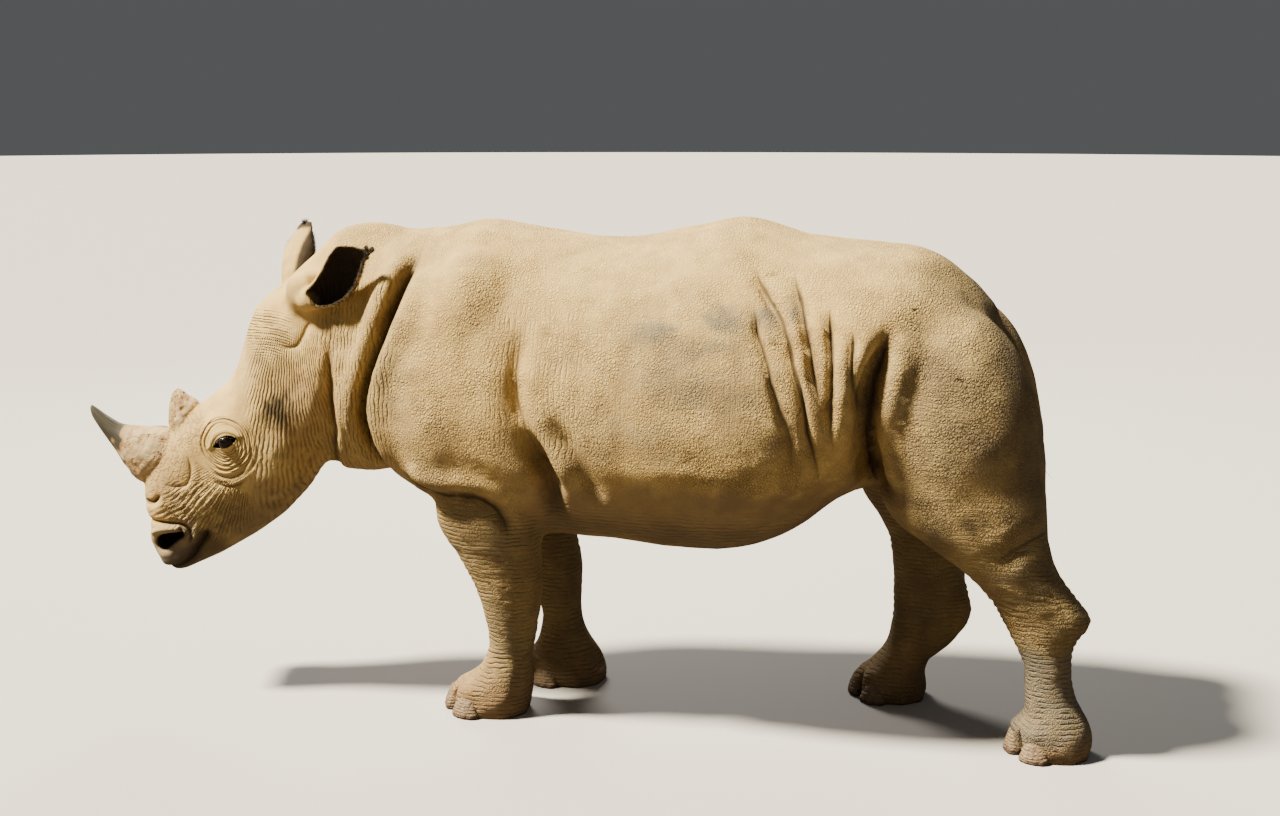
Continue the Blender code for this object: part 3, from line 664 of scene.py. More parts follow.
@dataclass(frozen=True)
class EyeOpening:
    """The lids' almond opening over the eyeball, slanted in the side view."""

    ball: float = 0.027
    along: Point = (0.93, 0.368)  # towards the rear corner
    front: float = 0.047  # from the ball's centre to the front corner
    rear: float = 0.040
    upper: float = 0.0215
    lower: float = 0.0145
    lid: float = 0.0030  # how far the lids stand over the ball
    rings: tuple[tuple[float, float], ...] = ((0.52, 0.0020), (0.66, 0.0030), (0.82, 0.0036),
                                              (1.0, 0.0052), (1.22, 0.0034), (1.48, 0.0030))
    ring_reach: Point = (0.080, 0.088)

    def local(self, x: Array, z: Array) -> tuple[Array, Array]:
        """Places along and over the opening's slanted midline."""
        dx, dz = x - EYE_PLACE[0], z - EYE_PLACE[2]
        return dx * self.along[0] + dz * self.along[1], dz * self.along[0] - dx * self.along[1]

    def edge(self, x: Array, z: Array) -> Array:
        """Distance outside the opening's edge, below 0 within it.

        Args:
            x: stations of the side view.
            z: heights of the side view.

        Returns:
            Their distance outside the opening's edge.
        """
        u, v = self.local(x, z)
        span = np.where(u < 0, u / self.front, u / self.rear)
        arch = 1 - span * span
        return np.maximum(v - self.upper * arch, -v - self.lower * arch)

    def shape(self, places: Array) -> Array:
        """The straight animal's places with the lids opened over the eyeball.

        Args:
            places: the places to look at.

        Returns:
            The places with the lids.
        """
        x, y, z = places.T
        u, v = self.local(x, z)
        away = np.hypot(u, v)
        near = np.flatnonzero((away < 0.16) & (np.abs(y) > 0.06))
        x, z, u, v, away = x[near], z[near], u[near], v[near], away[near]
        out = np.abs(y[near])
        dome = EYE_PLACE[1] + np.sqrt(np.clip(self.ball ** 2 - away ** 2, 0, None))
        on_ball = falloff(away, 0.8 * self.ball, 1.15 * self.ball)
        edge = self.edge(x, z)
        lids = np.maximum(out, (dome + self.lid) * on_ball + out * (1 - on_ball))
        upper = rise(v, -0.006, 0.004)
        lids += 0.0040 * bell(edge - 0.004, 0.004) * (0.5 + 0.5 * upper)
        lids += 0.0060 * bell(edge - 0.020, 0.014) * upper + 0.0015 * bell(edge - 0.015, 0.012)
        turn = np.arctan2(z - EYE_PLACE[2], x - EYE_PLACE[0])
        ring_x = (x - EYE_PLACE[0] + 0.008) / self.ring_reach[0]
        ring_z = (z - EYE_PLACE[2] + 0.008) / self.ring_reach[1]
        ring = np.hypot(ring_x, ring_z) + 0.03 * np.sin(5 * turn + 1)
        below = 0.30 + 0.70 * falloff(np.abs(turn + 1.2), 0.5, 1.9)
        left = 0.55 * falloff(np.abs(np.abs(turn) - 2.7), 0.3, 1.0)
        for radius, depth in self.rings:
            strength = np.clip(below + left * (abs(radius - 1) < 0.2), 0, 1)
            strength = strength * (falloff(v, 0.0, 0.03) if radius < 0.75 or radius > 1.1 else 1.0)
            lids -= depth * strength * bell((ring - radius) * self.ring_reach[0], 0.0035)
            lids += 0.45 * depth * strength * bell((ring - radius - 0.09) * self.ring_reach[0], 0.0045)
        sunk = np.where(away < self.ball, np.minimum(dome - 0.005, out), out - 0.010)
        inside = falloff(edge, -0.0022, 0.0006)
        moved = places.copy()
        moved[near, 1] = np.sign(y[near]) * (lids * (1 - inside) + np.minimum(sunk, lids) * inside)
        return moved


EYE_OPENING = EyeOpening()


# an ear's sections along it: where, how far behind and ahead of its midline, half its width, its sway
EAR_BUD = ((-0.040, 0.032, 0.026, 0.030, 0.0), (0.010, 0.042, 0.030, 0.040, 0.006),
           (0.060, 0.052, 0.036, 0.056, 0.016), (0.110, 0.057, 0.034, 0.067, 0.013),
           (0.165, 0.053, 0.027, 0.073, -0.004), (0.207, 0.043, 0.019, 0.067, -0.018),
           (0.242, 0.029, 0.012, 0.045, -0.020), (0.275, 0.015, 0.008, 0.023, -0.010),
           (0.306, 0.004, 0.003, 0.006, 0.0))


@dataclass(frozen=True)
class EarFunnel:
    """Where one ear stands: its root, its tip and the way that it opens."""

    root: Place
    tip: Place
    opening: Place
    lean: float  # sideways sway of its outline
    rear: float = 0.0  # how far the dark of its inside, partly painted shade, runs over its lower rim
    length: float = 0.306

    def axes(self) -> tuple[Array, Array, Array]:
        """The ways that it opens, spreads and points.

        Returns:
            The front, side and long axes of the ear.
        """
        way = np.array(self.tip) - np.array(self.root)
        way /= np.linalg.norm(way)
        out = np.array(self.opening) - way * (np.array(self.opening) @ way)
        out /= np.linalg.norm(out)
        return out, np.cross(way, out), way

    def local(self, places: Array) -> Array:
        """Places as distances along the ear's axes, from its root end."""
        base = np.array(self.tip) - self.axes()[2] * self.length
        return (places - base) @ np.array(self.axes()).T

    def span(self, local: Array) -> Array:
        """How far each place lies from the ear's midline, where 1 is its outer wall.

        Args:
            local: places in the ear's own axes.

        Returns:
            The distance from its middle, in half widths.
        """
        rows = np.array(EAR_BUD)
        at = np.clip(local[:, 2], rows[0, 0], rows[-1, 0])
        back, front, half, sway = (np.interp(at, rows[:, 0], rows[:, k]) for k in range(1, 5))
        across = local[:, 1] - self.lean * sway
        return np.hypot(local[:, 0] / np.where(local[:, 0] < 0, back, front), across / half)

    def inside(self, places: Array, normals: Array) -> Array:
        """How surely each place lies on the funnel's inner wall, between 0 and 1.

        Args:
            places: the places to look at.
            normals: the skin's normals there.

        Returns:
            1 inside the funnel, 0 outside it.
        """
        local = self.local(places)
        facing = normals @ np.array(self.axes()).T
        toward = -(facing[:, 0] * (local[:, 0] - 0.008) + facing[:, 1] * local[:, 1])
        toward /= np.hypot(local[:, 0] - 0.008, local[:, 1]) + 1e-9
        shown = rise(local[:, 2], -0.010, 0.020) * falloff(self.span(local), 1.0, 1.05)
        rear = self.rear * rise(local[:, 1], -0.03, 0.02)
        rear = np.maximum(rear, self.rear * rise(local[:, 2], 0.255, 0.285))
        return rise(toward + 0.55 * rear, 0.05, 0.45) * shown

    def near(self, places: Array) -> Array:
        """Where the ear is, between 0 and 1.

        Args:
            places: the places to look at.

        Returns:
            1 on the ear, 0 away from it.
        """
        local = self.local(places)
        tube = falloff(np.hypot(*local[:, :2].T), 0.085, 0.11)
        return tube * rise(local[:, 2], -0.03, 0.03) * falloff(local[:, 2], 0.33, 0.36)


EAR_FUNNELS = {
    "left": EarFunnel((-1.470, -0.208, 1.372), (-1.196, -0.275, 1.566), (0.10, -1.0, -0.05), 1.0, 1.0),
    "right": EarFunnel((-1.600, 0.060, 1.400), (-1.594, 0.150, 1.620), (0.45, 0.90, 0.0), -0.3),
}


@dataclass(frozen=True)
class Foot:
    """Where a foot stands, from the lowest part of its leg."""

    middle: Point
    hand: float

    @classmethod
    def of(cls, leg: str, height: float = 0.055) -> "Foot":
        """Reads a leg's foot from its CAD node.

        Args:
            leg: the leg's name.
            height: how high its foot reaches.

        Returns:
            The foot.
        """
        points = places_of(frame["nodes"][leg].data)
        low = points[points[:, 2] < height]
        middle = (low.min(axis=0) + low.max(axis=0)) / 2
        return cls((float(middle[0]), float(middle[1])), -1.0 if leg.endswith("left") else 1.0)

    def round(self, places: Array) -> tuple[Array, Array]:
        """Each place's angle round the foot from straight ahead, in degrees, and how surely it is on it."""
        dx, dy = places[:, 0] - self.middle[0], places[:, 1] - self.middle[1]
        return np.degrees(np.arctan2(dy * self.hand, -dx)), falloff(np.hypot(dx, dy), 0.18, 0.22)


TOE_SPAN = 62.0  # degrees from the middle of a toe to the next one's
CLEFT_DEPTH = 0.030


def clefts(places: Array) -> Array:
    """The arched clefts between the toes: 1 in them, 0 elsewhere.

    Args:
        places: the places to look at.

    Returns:
        The clefts' strength at each place.
    """
    found = np.zeros(len(places))
    for leg in LEGS:
        turn, near = Foot.of(leg).round(places)
        for cleft in (-TOE_SPAN / 2, TOE_SPAN / 2):
            arch = falloff(places[:, 2] + np.abs(turn - cleft) * 0.003, 0.070, 0.098)
            found = np.maximum(found, bell(turn - cleft, 8.0) * arch * near)
    return found


# ---- the hide ----

@dataclass
class Hide:
    """One skin over all the flesh, in place of the ten solids."""

    neck: NeckTurn
    grain: float = 0.0055  # size of the wrapped mesh's faces
    swell: float = 0.0009  # of the solids before they are wrapped
    shrink: float = 0.0018  # of the hard pieces in their pockets
    passes: int = 78  # of softening
    stiff: float = 0.35  # how much less head, forelegs and feet are softened
    triangles: int = 196000
    made: bpy.types.Object = field(init=False)

    def build(self) -> bpy.types.Object:
        """Wraps, softens, sculpts, thins, marks and dresses the skin.

        Returns:
            The piece.
        """
        self.wrap()
        self.soften()
        self.refine()
        self.sculpt()
        self.thin()
        self.mark()
        self.made.data.materials.append(HideFinish().material())
        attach(self.made, "root")
        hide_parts(*FLESH)
        return self.made

    def wrap(self) -> None:
        """Joins copies of the solids, with shrunken copies of the hard pieces to fill their pockets."""
        pieces = []
        for node in (*FLESH, "horn_front", "horn_rear", *EYES, *NAILS):
            piece = cad_copy(node, f"wrap_{node}")
            strength = self.swell if node in FLESH else -self.shrink
            apply(piece, "DISPLACE", strength=strength, mid_level=0.0)
            pieces.append(piece)
        alone(pieces[0])
        for piece in pieces:
            piece.select_set(True)
        bpy.ops.object.join()
        self.made = pieces[0]
        self.made.name = "hide"
        self.made.data.name = "hide"
        apply(self.made, "REMESH", mode="VOXEL", voxel_size=self.grain)
        self.keep_outside()

    def keep_outside(self) -> None:
        """Drops whatever the wrapping left inside the body."""
        with editing(self.made):
            bpy.ops.mesh.select_all(action="DESELECT")
        highest = int(np.argmax(places_of(self.made.data)[:, 2]))
        self.made.data.vertices[highest].select = True
        with editing(self.made):
            bpy.ops.mesh.select_linked()
            bpy.ops.mesh.select_all(action="INVERT")
            bpy.ops.mesh.delete(type="VERT")

    def relax(self, places: Array, strength: Array, passes: int) -> Array:
        """Moves each point towards the mean of its neighbours.

        Args:
            places: where the points are.
            strength: how far each goes in one pass, between 0 and 1.
            passes: how often.

        Returns:
            Where the points end.
        """
        edges = np.empty(len(self.made.data.edges) * 2, np.int32)
        self.made.data.edges.foreach_get("vertices", edges)
        first, second = edges.reshape(-1, 2).T
        ends = np.concatenate([first, second])
        order = np.argsort(ends, kind="stable")
        others = np.concatenate([second, first])[order]
        starts = np.searchsorted(ends[order], np.arange(len(places)))
        count = np.bincount(ends, minlength=len(places))[:, None]
        strength = strength[:, None].astype(np.float32)
        moved = places.astype(np.float32)
        for _ in range(passes):
            moved = moved + (np.add.reduceat(moved[others], starts) / count - moved) * strength
        return moved.astype(float)

    def smoothed(self, places: Array, strength: Array, passes: int) -> Array:
        """Relaxes the places, then gives back the broad shape that this took, so that nothing shrinks."""
        first = self.relax(places, strength, passes)
        return first + self.relax(places - first, strength, passes)

    def soften(self) -> None:
        """Rounds the solids' facets away, least on the head, the feet, the ears and the tail."""
        places = places_of(self.made.data)
        x, y, z = self.neck.straight(places).T
        softness = np.ones(len(places))
        softness -= self.stiff * falloff(x, -1.45, -1.25)
        softness -= self.stiff * falloff(z, 0.60, 0.85) * rise(x, -1.4, -1.2)
        softness -= self.stiff * falloff(z, 0.08, 0.20)
        tail = falloff(np.abs(y), 0.05, 0.07) * rise(x, 0.80, 0.86) * falloff(z, 1.28, 1.36)
        tail *= rise(z, 0.60, 0.66)
        for thin, left in ((self.on_ears(places), 0.16), (tail, 0.10)):
            softness = softness * (1 - thin) + left * thin
        places = self.smoothed(places, 0.5 * np.clip(softness, 0.08, 1), self.passes)
        places[:, 2] = np.where(places[:, 2] < 0.006, 0.0, places[:, 2])
        set_places(self.made.data, places)

    def refine(self) -> None:
        """Halves the faces of the face and the ears, where the finest folds are."""
        mesh = self.made.data
        centres = rows_of(mesh.polygons, "center")
        x, _, z = self.neck.straight(centres).T
        face = ((x < -1.47) & (z < 1.40)) | (self.on_ears(centres) > 0.5)
        mesh.polygons.foreach_set("select", face)
        with editing(self.made):
            bpy.ops.mesh.select_mode(type="FACE")
        mesh.polygons.foreach_set("select", face)
        with editing(self.made):
            bpy.ops.mesh.subdivide(number_cuts=1, smoothness=0.0)
        places = places_of(mesh)
        strength = 0.5 * falloff(self.neck.straight(places)[:, 0], -1.50, -1.44)
        strength = np.maximum(strength, 0.3 * self.on_ears(places))
        set_places(mesh, self.smoothed(places, strength, 6))

    def sculpt(self) -> None:
        """Presses in folds, wrinkles, nostrils, mouth and toes, and opens the lids."""
        mesh = self.made.data
        for folds, wrinkles in ((BODY_FOLDS, ()), (HEAD_FOLDS, WRINKLES)):
            places, normals = places_of(mesh), normals_of(mesh)
            straight = self.neck.straight(places)
            push = self.fold_relief(straight, normals, folds)
            sideways = np.clip(np.hypot(normals[:, 0], normals[:, 1]) * 1.4, 0.35, 1)
            quiet = 1 - self.on_ears(places)
            for patch in wrinkles:
                push += patch.relief(straight) * sideways * quiet
            if wrinkles:
                push += self.unevenness(straight) * quiet
                push += self.nostrils(straight) + self.toes(places)
            moved = places + normals * push[:, None]
            if not wrinkles:
                moved = self.relax(moved, np.full(len(moved), 0.25), 2)
            set_places(mesh, moved)
        straight = self.neck.straight(places_of(mesh))
        places = self.neck.turned(EYE_OPENING.shape(straight))
        places = self.relax(places, np.full(len(places), 0.12), 1)
        places[:, 2] = np.where(places[:, 2] < 0.004, 0.0, places[:, 2])
        set_places(mesh, places)

    def on_ears(self, places: Array) -> Array:
        """Where the ears are, between 0 and 1."""
        return np.max([ear.near(places - self.neck.shift) for ear in EAR_FUNNELS.values()], axis=0)

    def fold_relief(self, straight: Array, normals: Array, folds: tuple[Fold, ...]) -> Array:
        """Adds folds up on the sides that they are on.

        Args:
            straight: places in the straight animal.
            normals: the skin's normals there.
            folds: the folds.

        Returns:
            How far the hide stands out at each place.
        """
        x, y, z = straight.T
        sideways = np.clip(np.abs(normals[:, 1]) * 2.2, 0, 1) * rise(np.abs(y), 0.02, 0.06)
        push, rolls = np.zeros(len(straight)), np.zeros(len(straight))
        for fold in folds:
            relief = fold.relief(x, z) * (sideways * fold.on_flank(y))
            if fold.pillow:
                rolls = np.minimum(rolls, relief)
            else:
                push += relief
        return push + rolls

    def unevenness(self, straight: Array) -> Array:
        """Slack and muscle under the hide, too low to be folds.

        Args:
            straight: places in the straight animal.

        Returns:
            How far the hide stands out at each place.
        """
        body = rise(straight[:, 0], -1.5, -1.3)
        push = 0.0022 * value_noise(straight, 0.16, 31) + 0.0011 * value_noise(straight, 0.055, 32)
        ribs = value_noise(straight, (0.10, 0.4, 0.5), 33)
        push = push + 0.0030 * ribs * falloff(np.abs(straight[:, 0] + 0.35), 0.5, 0.9)
        return push * (0.35 + 0.65 * body)

    def nostrils(self, straight: Array) -> Array:
        """The pits of the nostrils, their swollen wings and the plump lip under them.

        Args:
            straight: places in the straight animal.

        Returns:
            How far the skin stands out at each place.
        """
        x, y, z = straight.T
        edge = NOSTRIL.edge(x, z)
        side = rise(np.abs(y), 0.040, 0.060) * falloff(x, -1.88, -1.84)
        pit = -NOSTRIL.depth * falloff(edge, -0.020, 0.002)
        wing = rise(z, 0.565, 0.585)
        rim = bell(edge - 0.013, 0.011) * (0.004 + 0.009 * wing)
        lip = 0.010 * bell(np.hypot((x + 1.985) / 1.6, z - 0.487), 0.026)
        return (pit + rim + lip) * side

    def toes(self, places: Array) -> Array:
        """The arched clefts between the toes and the swelling over each nail.

        Args:
            places: the places to look at.

        Returns:
            How far the skin stands out at each place.
        """
        push = -CLEFT_DEPTH * clefts(places)
        for leg in LEGS:
            turn, near = Foot.of(leg).round(places)
            front = falloff(np.abs(turn), 85.0, 105.0)
            toe = np.cos(np.radians(turn * 180 / TOE_SPAN)) ** 2
            push += 0.012 * bell(places[:, 2] - 0.090, 0.024) * front * near * (0.25 + 0.75 * toe)
        return push

    def thin(self) -> None:
        """Thins the mesh to its budget, least on the head."""
        mesh = self.made.data
        straight = self.neck.straight(places_of(mesh))
        x, _, z = straight.T
        keep = 0.55 * falloff(x, -1.50, -1.25) + 0.15
        keep = np.maximum(keep, falloff(np.hypot(x - EYE_PLACE[0], z - EYE_PLACE[2]), 0.085, 0.13))
        keep = np.maximum(keep, 0.9 * falloff(np.hypot(x + 2.0, z - 0.55), 0.07, 0.13))
        keep = np.maximum(keep, 0.5 * falloff(z, 0.12, 0.25))
        group = self.made.vertex_groups.new(name="keep")
        levels = 20
        steps = np.round(keep * levels).astype(int)
        for step in np.unique(steps):
            group.add(np.flatnonzero(steps == step).tolist(), float(step) / levels, "REPLACE")
        faces = sum(len(polygon.vertices) - 2 for polygon in mesh.polygons)
        apply(self.made, "DECIMATE", ratio=self.triangles / faces, use_collapse_triangulate=True,
              vertex_group="keep", invert_vertex_group=True, vertex_group_factor=0.35)
        LOG.info("hide: thinned from %d to %d triangles", faces, len(mesh.polygons))
        self.made.vertex_groups.clear()
        mesh.shade_smooth()

    def mark(self) -> None:
        """Writes where each finish of the hide lies, as attributes of its points."""
        mesh = self.made.data
        places, normals = places_of(mesh), normals_of(mesh)
        marks = HideMarks(self.neck, places, normals, self.neck.straight(places))
        for name in HIDE_MARKS:
            write_mark(mesh, name, np.clip(getattr(marks, name)(), 0, 1))
        for name, values in zip(("crease", "away"), marks.creases()):
            write_mark(mesh, name, values)
        layer = mesh.attributes.new("rest", "FLOAT_VECTOR", "POINT")
        layer.data.foreach_set("vector", marks.straight.astype(np.float32).ravel())


# ovals of the side view: the middle's x and z, half the length, half the height, the strength
GLAND_SPOTS = (
    (-1.60, 1.025, 0.070, 0.085, 0.85), (0.761, 0.771, 0.060, 0.050, 0.75),
    (0.594, 0.825, 0.070, 0.040, 0.55), (0.819, 1.25, 0.06, 0.08, 0.40),
    (-0.60, 1.32, 0.014, 0.03, 0.35), (-0.13, 1.19, 0.014, 0.03, 0.35), (0.275, 1.15, 0.022, 0.05, 0.35),
)
RUBBED = (
    (-0.22, 1.335, 0.14, 0.050, 0.8), (-0.10, 1.30, 0.16, 0.045, 0.6), (0.00, 1.385, 0.12, 0.050, 0.8),
    (0.115, 1.385, 0.06, 0.06, 0.9), (0.195, 1.405, 0.04, 0.06, 0.8), (-0.10, 1.19, 0.30, 0.09, 0.45),
    (0.55, 1.13, 0.08, 0.07, 0.25), (-0.25, 1.02, 0.22, 0.10, 0.3),
)


@dataclass
class HideMarks:
    """Where the hide is dark, grey, rusty or pale, where shade is painted on it, and which way its fine
    lines run.
    """

    neck: NeckTurn
    places: Array
    normals: Array
    straight: Array

    def spot(self, x: float, z: float, reach_x: float, reach_z: float) -> Array:
        """A soft oval on both flanks, with a ragged edge.

        Args:
            x: the middle's x.
            z: the middle's height.
            reach_x: half its length.
            reach_z: half its height.

        Returns:
            The mark at each point, between 0 and 1.
        """
        away = oval(self.straight[:, 0], self.straight[:, 2], (x, z), (reach_x, reach_z))
        ragged = 0.35 * value_noise(self.straight, 0.022, 41) + 0.35 * value_noise(self.straight, 0.06, 40)
        return falloff(away + ragged, 0.20, 1.10) * rise(np.abs(self.straight[:, 1]), 0.08, 0.12)

    def spots(self, rows: tuple[tuple[float, ...], ...]) -> Array:
        """All of these ovals, each at its strength, which its row ends with."""
        return np.max([strength * self.spot(*oval) for *oval, strength in rows], axis=0)

    def ears(self) -> Array:
        """The ears' inner walls: dark skin and hair, darkened further as painted shade of the cup."""
        places = self.places - self.neck.shift
        return np.max([ear.inside(places, self.normals) for ear in EAR_FUNNELS.values()], axis=0)

    def rims(self) -> Array:
        """The far ear's dark edge and tip, and painted shade on its hand that turns from the light.

        Returns:
            The mark at each point, between 0 and 1.
        """
        funnel = EAR_FUNNELS["right"]
        places = self.places - self.neck.shift
        local = funnel.local(places)
        facing = self.normals @ np.array(funnel.axes()).T
        edge = rise(facing[:, 0], -0.60, -0.20) * rise(local[:, 2], 0.06, 0.15)
        tip = rise(local[:, 2], 0.270, 0.288)
        # painted shade on the far ear's hand that turns from the light
        hand = 0.95 * falloff(local[:, 1], -0.044, -0.030) * rise(local[:, 2], 0.02, 0.08)
        return np.max([0.98 * edge, 0.95 * tip, hand], axis=0) * funnel.near(places)

    def dark(self) -> Array:
        """Dark skin and painted shade: the ears' insides, partly painted shade; painted shade in the
        nostrils' pits; the lids' dark margins, widened over the opening as the upper lid's painted shadow;
        the far ear's dark edge and its painted shade; and the gland spots.

        Returns:
            The mark at each point, between 0 and 1.
        """
        x, y, z = self.straight.T
        # painted shade inside the nostrils' pits
        nostrils = falloff(NOSTRIL.edge(x, z), -0.008, 0.001) * falloff(x, -1.90, -1.86)
        nostrils *= rise(np.abs(y), 0.03, 0.05)
        # dark lid margins, wider over the opening for the lashes and the upper lid's painted shadow
        over = rise(EYE_OPENING.local(x, z)[1], -0.002, 0.006)
        lids = falloff(EYE_OPENING.edge(x, z) - 0.0030 * over, 0.0005, 0.0035)
        lids *= rise(np.abs(y), 0.10, 0.12) * falloff(np.hypot(*EYE_OPENING.local(x, z)), 0.05, 0.06)
        return np.max([0.95 * self.ears(), self.rims(), nostrils, lids, self.spots(GLAND_SPOTS)], axis=0)

    def grey(self) -> Array:
        """Where the dust is rubbed off: the flank's patches and the left hind foot.

        Returns:
            The mark at each point, between 0 and 1.
        """
        x, y, z = self.straight.T
        hind_left = rise(x, 0.70, 0.80) * falloff(y, -0.08, -0.04)
        return np.maximum(self.spots(RUBBED), hind_left * falloff(np.abs(z - 0.20), 0.11, 0.19))

    def lip(self) -> Array:
        """The bare, bluish lips.

        Returns:
            The mark at each point, between 0 and 1.
        """
        x, _, z = self.straight.T
        edge = z - 0.34 * (x + 1.95) + 0.010 * value_noise(self.straight, 0.02, 45)
        lips = np.maximum(falloff(edge, 0.510, 0.560), 0.65 * falloff(edge, 0.600, 0.650))
        return lips * falloff(x, -1.93, -1.88)

    def hollow_shade(self) -> Array:
        """Painted shade: the bottoms of the widest folds, under the jaw's corner, on the far ear's side
        that turns from the light, and between the toes.

        Returns:
            The mark at each point, between 0 and 1.
        """
        x, y, z = self.straight.T
        side = rise(np.abs(y), 0.02, 0.06)
        found = np.zeros(len(x))
        for fold in (*BODY_FOLDS, *HEAD_FOLDS):
            if fold.hollow_shade:
                near, best, _, ends = fold.measure(x, z)
                shade = fold.shade_strength * ends * falloff(best, 0.25 * fold.hollow_shade, fold.hollow_shade)
                found[near] = np.maximum(found[near], shade)
        # painted shadow under the jaw's corner
        chin_shadow = 0.8 * falloff(oval(x, z, (-1.885, 0.510), (0.085, 0.060)), 0.5, 1.15)
        # painted shade where the far ear turns from the light
        far_ear_shade = rise(self.normals[:, 0], 0.15, 0.55) * EAR_FUNNELS["right"].near(
            self.places - self.neck.shift)
        # painted shade in the clefts between the toes
        toes = rise(clefts(self.places), 0.25, 0.75)
        return np.max([found * side, chin_shadow * side, 0.55 * far_ear_shade, 0.95 * toes], axis=0)

    def dun_and_shade(self) -> Array:
        """Where less dust lies and shade is painted: thighs, legs, underside and jaw, and what faces the
        rear.

        Returns:
            The mark at each point, between 0 and 1.
        """
        x, _, z = self.straight.T
        ragged = 0.08 * value_noise(self.straight, 0.16, 46)
        thigh = rise(x - ragged, 0.44, 0.66) * falloff(z + ragged, 1.12, 1.46)
        legs = 0.75 * falloff(z + ragged, 0.60, 0.86) * rise(x, -1.3, -1.2)
        jaw = 0.65 * falloff(z - 0.62 * (x + 1.86) + 0.3 * ragged, 0.50, 0.66) * falloff(x, -1.42, -1.34)
        # painted shade on what faces the rear, turned from the light
        rear = rise(self.normals[:, 0], 0.05, 0.75) * rise(x, 0.44, 0.62)
        return np.clip(np.max([0.8 * thigh, legs, jaw, rear], axis=0), 0, 1)

    def rust(self) -> Array:
        """The red dust of the ground on the feet, the temples, a flank fold and round the horns.

        Returns:
            The mark at each point, between 0 and 1.
        """
        x, _, z = self.straight.T
        ragged = 0.06 * value_noise(self.straight, 0.05, 42)
        feet = falloff(z + ragged, 0.05, 0.24) * rise(x, -1.25, -1.15)
        temple = 0.55 * falloff(oval(x, z, (-1.50, 1.02), (0.14, 0.20)) + 3 * ragged, 0.4, 1.1)
        flank = 0.75 * self.spot(0.262, 1.17, 0.030, 0.14)
        return np.max([feet * (1 - 0.9 * self.grey()), 0.3 * self.horny(), temple, flank], axis=0)

    def pale(self) -> Array:
        """The lids and the back, where the dust lies thick.

        Returns:
            The mark at each point, between 0 and 1.
        """
        x, _, z = self.straight.T
        lids = falloff(np.hypot(*EYE_OPENING.local(x, z)), 0.05, 0.085) * falloff(x, -1.6, -1.5)
        return np.maximum(0.75 * lids, 0.6 * rise(self.normals[:, 2], 0.1, 0.75))

    def horny(self) -> Array:
        """The rough skin round the foot of each horn.

        Returns:
            The mark at each point, between 0 and 1.
        """
        x, _, z = self.straight.T
        front = oval(x, z, (-2.035, 0.815), (0.085, 0.13))
        rear = oval(x, z, (-1.955, 0.955), (0.095, 0.085))
        return np.maximum(falloff(front, 0.75, 1.25), falloff(rear, 0.7, 1.25))

    def creases(self) -> tuple[Array, Array]:
        """Finds the nearest fold of each place.

        Returns:
            How strongly its bottom is darkened there, in the bump and as painted shade, and the distance
            from it, with its hand's sign.
        """
        x, y, z = self.straight.T
        side = rise(np.abs(y), 0.02, 0.06) * np.clip(np.abs(self.normals[:, 1]) * 3, 0.2, 1)
        depth, away = np.zeros(len(x)), np.full(len(x), FAR_OFF)
        for fold in (*BODY_FOLDS, *HEAD_FOLDS):
            shown = side * fold.on_flank(y)
            near, best, signed, ends = fold.measure(x, z)
            nearer = (shown[near] > 0) & (best < np.abs(away[near]))
            near, best, signed, ends = near[nearer], best[nearer], signed[nearer], ends[nearer]
            depth[near] = fold.dark * ends * shown[near] * falloff(best, 0.012, 0.028)
            away[near] = -signed if fold.turned else signed
        return depth, away

    def drape(self) -> Array:
        """Where fine lines hang from the poll: the cheek and the jaw."""
        x, _, z = self.straight.T
        return falloff(np.abs(x + 1.54), 0.12, 0.20) * falloff(z, 1.20, 1.34)

    def upright(self) -> Array:
        """Where fine lines run upright: the neck, and weaker behind the shoulder and on the ribs.

        Returns:
            The mark at each point, between 0 and 1.
        """
        x, _, z = self.straight.T
        neck = falloff(np.abs(x + 1.28), 0.13, 0.22) * falloff(z, 1.42, 1.55)
        ribs = 0.55 * falloff(np.abs(x + 0.62), 0.12, 0.22) + 0.30 * falloff(np.abs(x + 0.10), 0.25, 0.5)
        return np.maximum(neck, ribs * falloff(z, 1.35, 1.5) * rise(z, 0.83, 0.98))

    def level(self) -> Array:
        """Where fine lines run level: legs, thighs and lower flank.

        Returns:
            The mark at each point, between 0 and 1.
        """
        x, _, z = self.straight.T
        body = rise(x, -1.3, -1.2)
        legs = falloff(z, 0.66, 0.84) * body
        thigh = 0.5 * rise(x, 0.42, 0.50) * falloff(z, 1.20, 1.40)
        flank = 0.35 * falloff(np.abs(z - 0.93), 0.05, 0.13) * falloff(np.abs(x - 0.05), 0.35, 0.5)
        return np.max([legs, thigh, flank], axis=0)

    def brow(self) -> Array:
        """Where arched fine lines cross the forehead."""
        x, _, z = self.straight.T
        return falloff(oval(x, z, (-1.64, 1.27), (0.10, 0.09)), 0.7, 1.1)

    def fan(self) -> Array:
        """Where fine lines fan out over the muzzle."""
        x, _, z = self.straight.T
        return falloff(oval(x, z, (-1.86, 0.67), (0.19, 0.15)), 0.65, 1.0)

    def bag(self) -> Array:
        """The bags round the eye, deepest below and behind it.

        Returns:
            The mark at each point, between 0 and 1.
        """
        x, _, z = self.straight.T
        turn = np.arctan2(z - EYE_PLACE[2], x - EYE_PLACE[0])
        away = np.hypot(x - EYE_PLACE[0], z - EYE_PLACE[2])
        ring = falloff(away, 0.085, 0.115) * rise(away, 0.028, 0.036)
        return ring * (0.18 + 0.82 * falloff(np.abs(turn + 0.9), 1.0, 2.0))

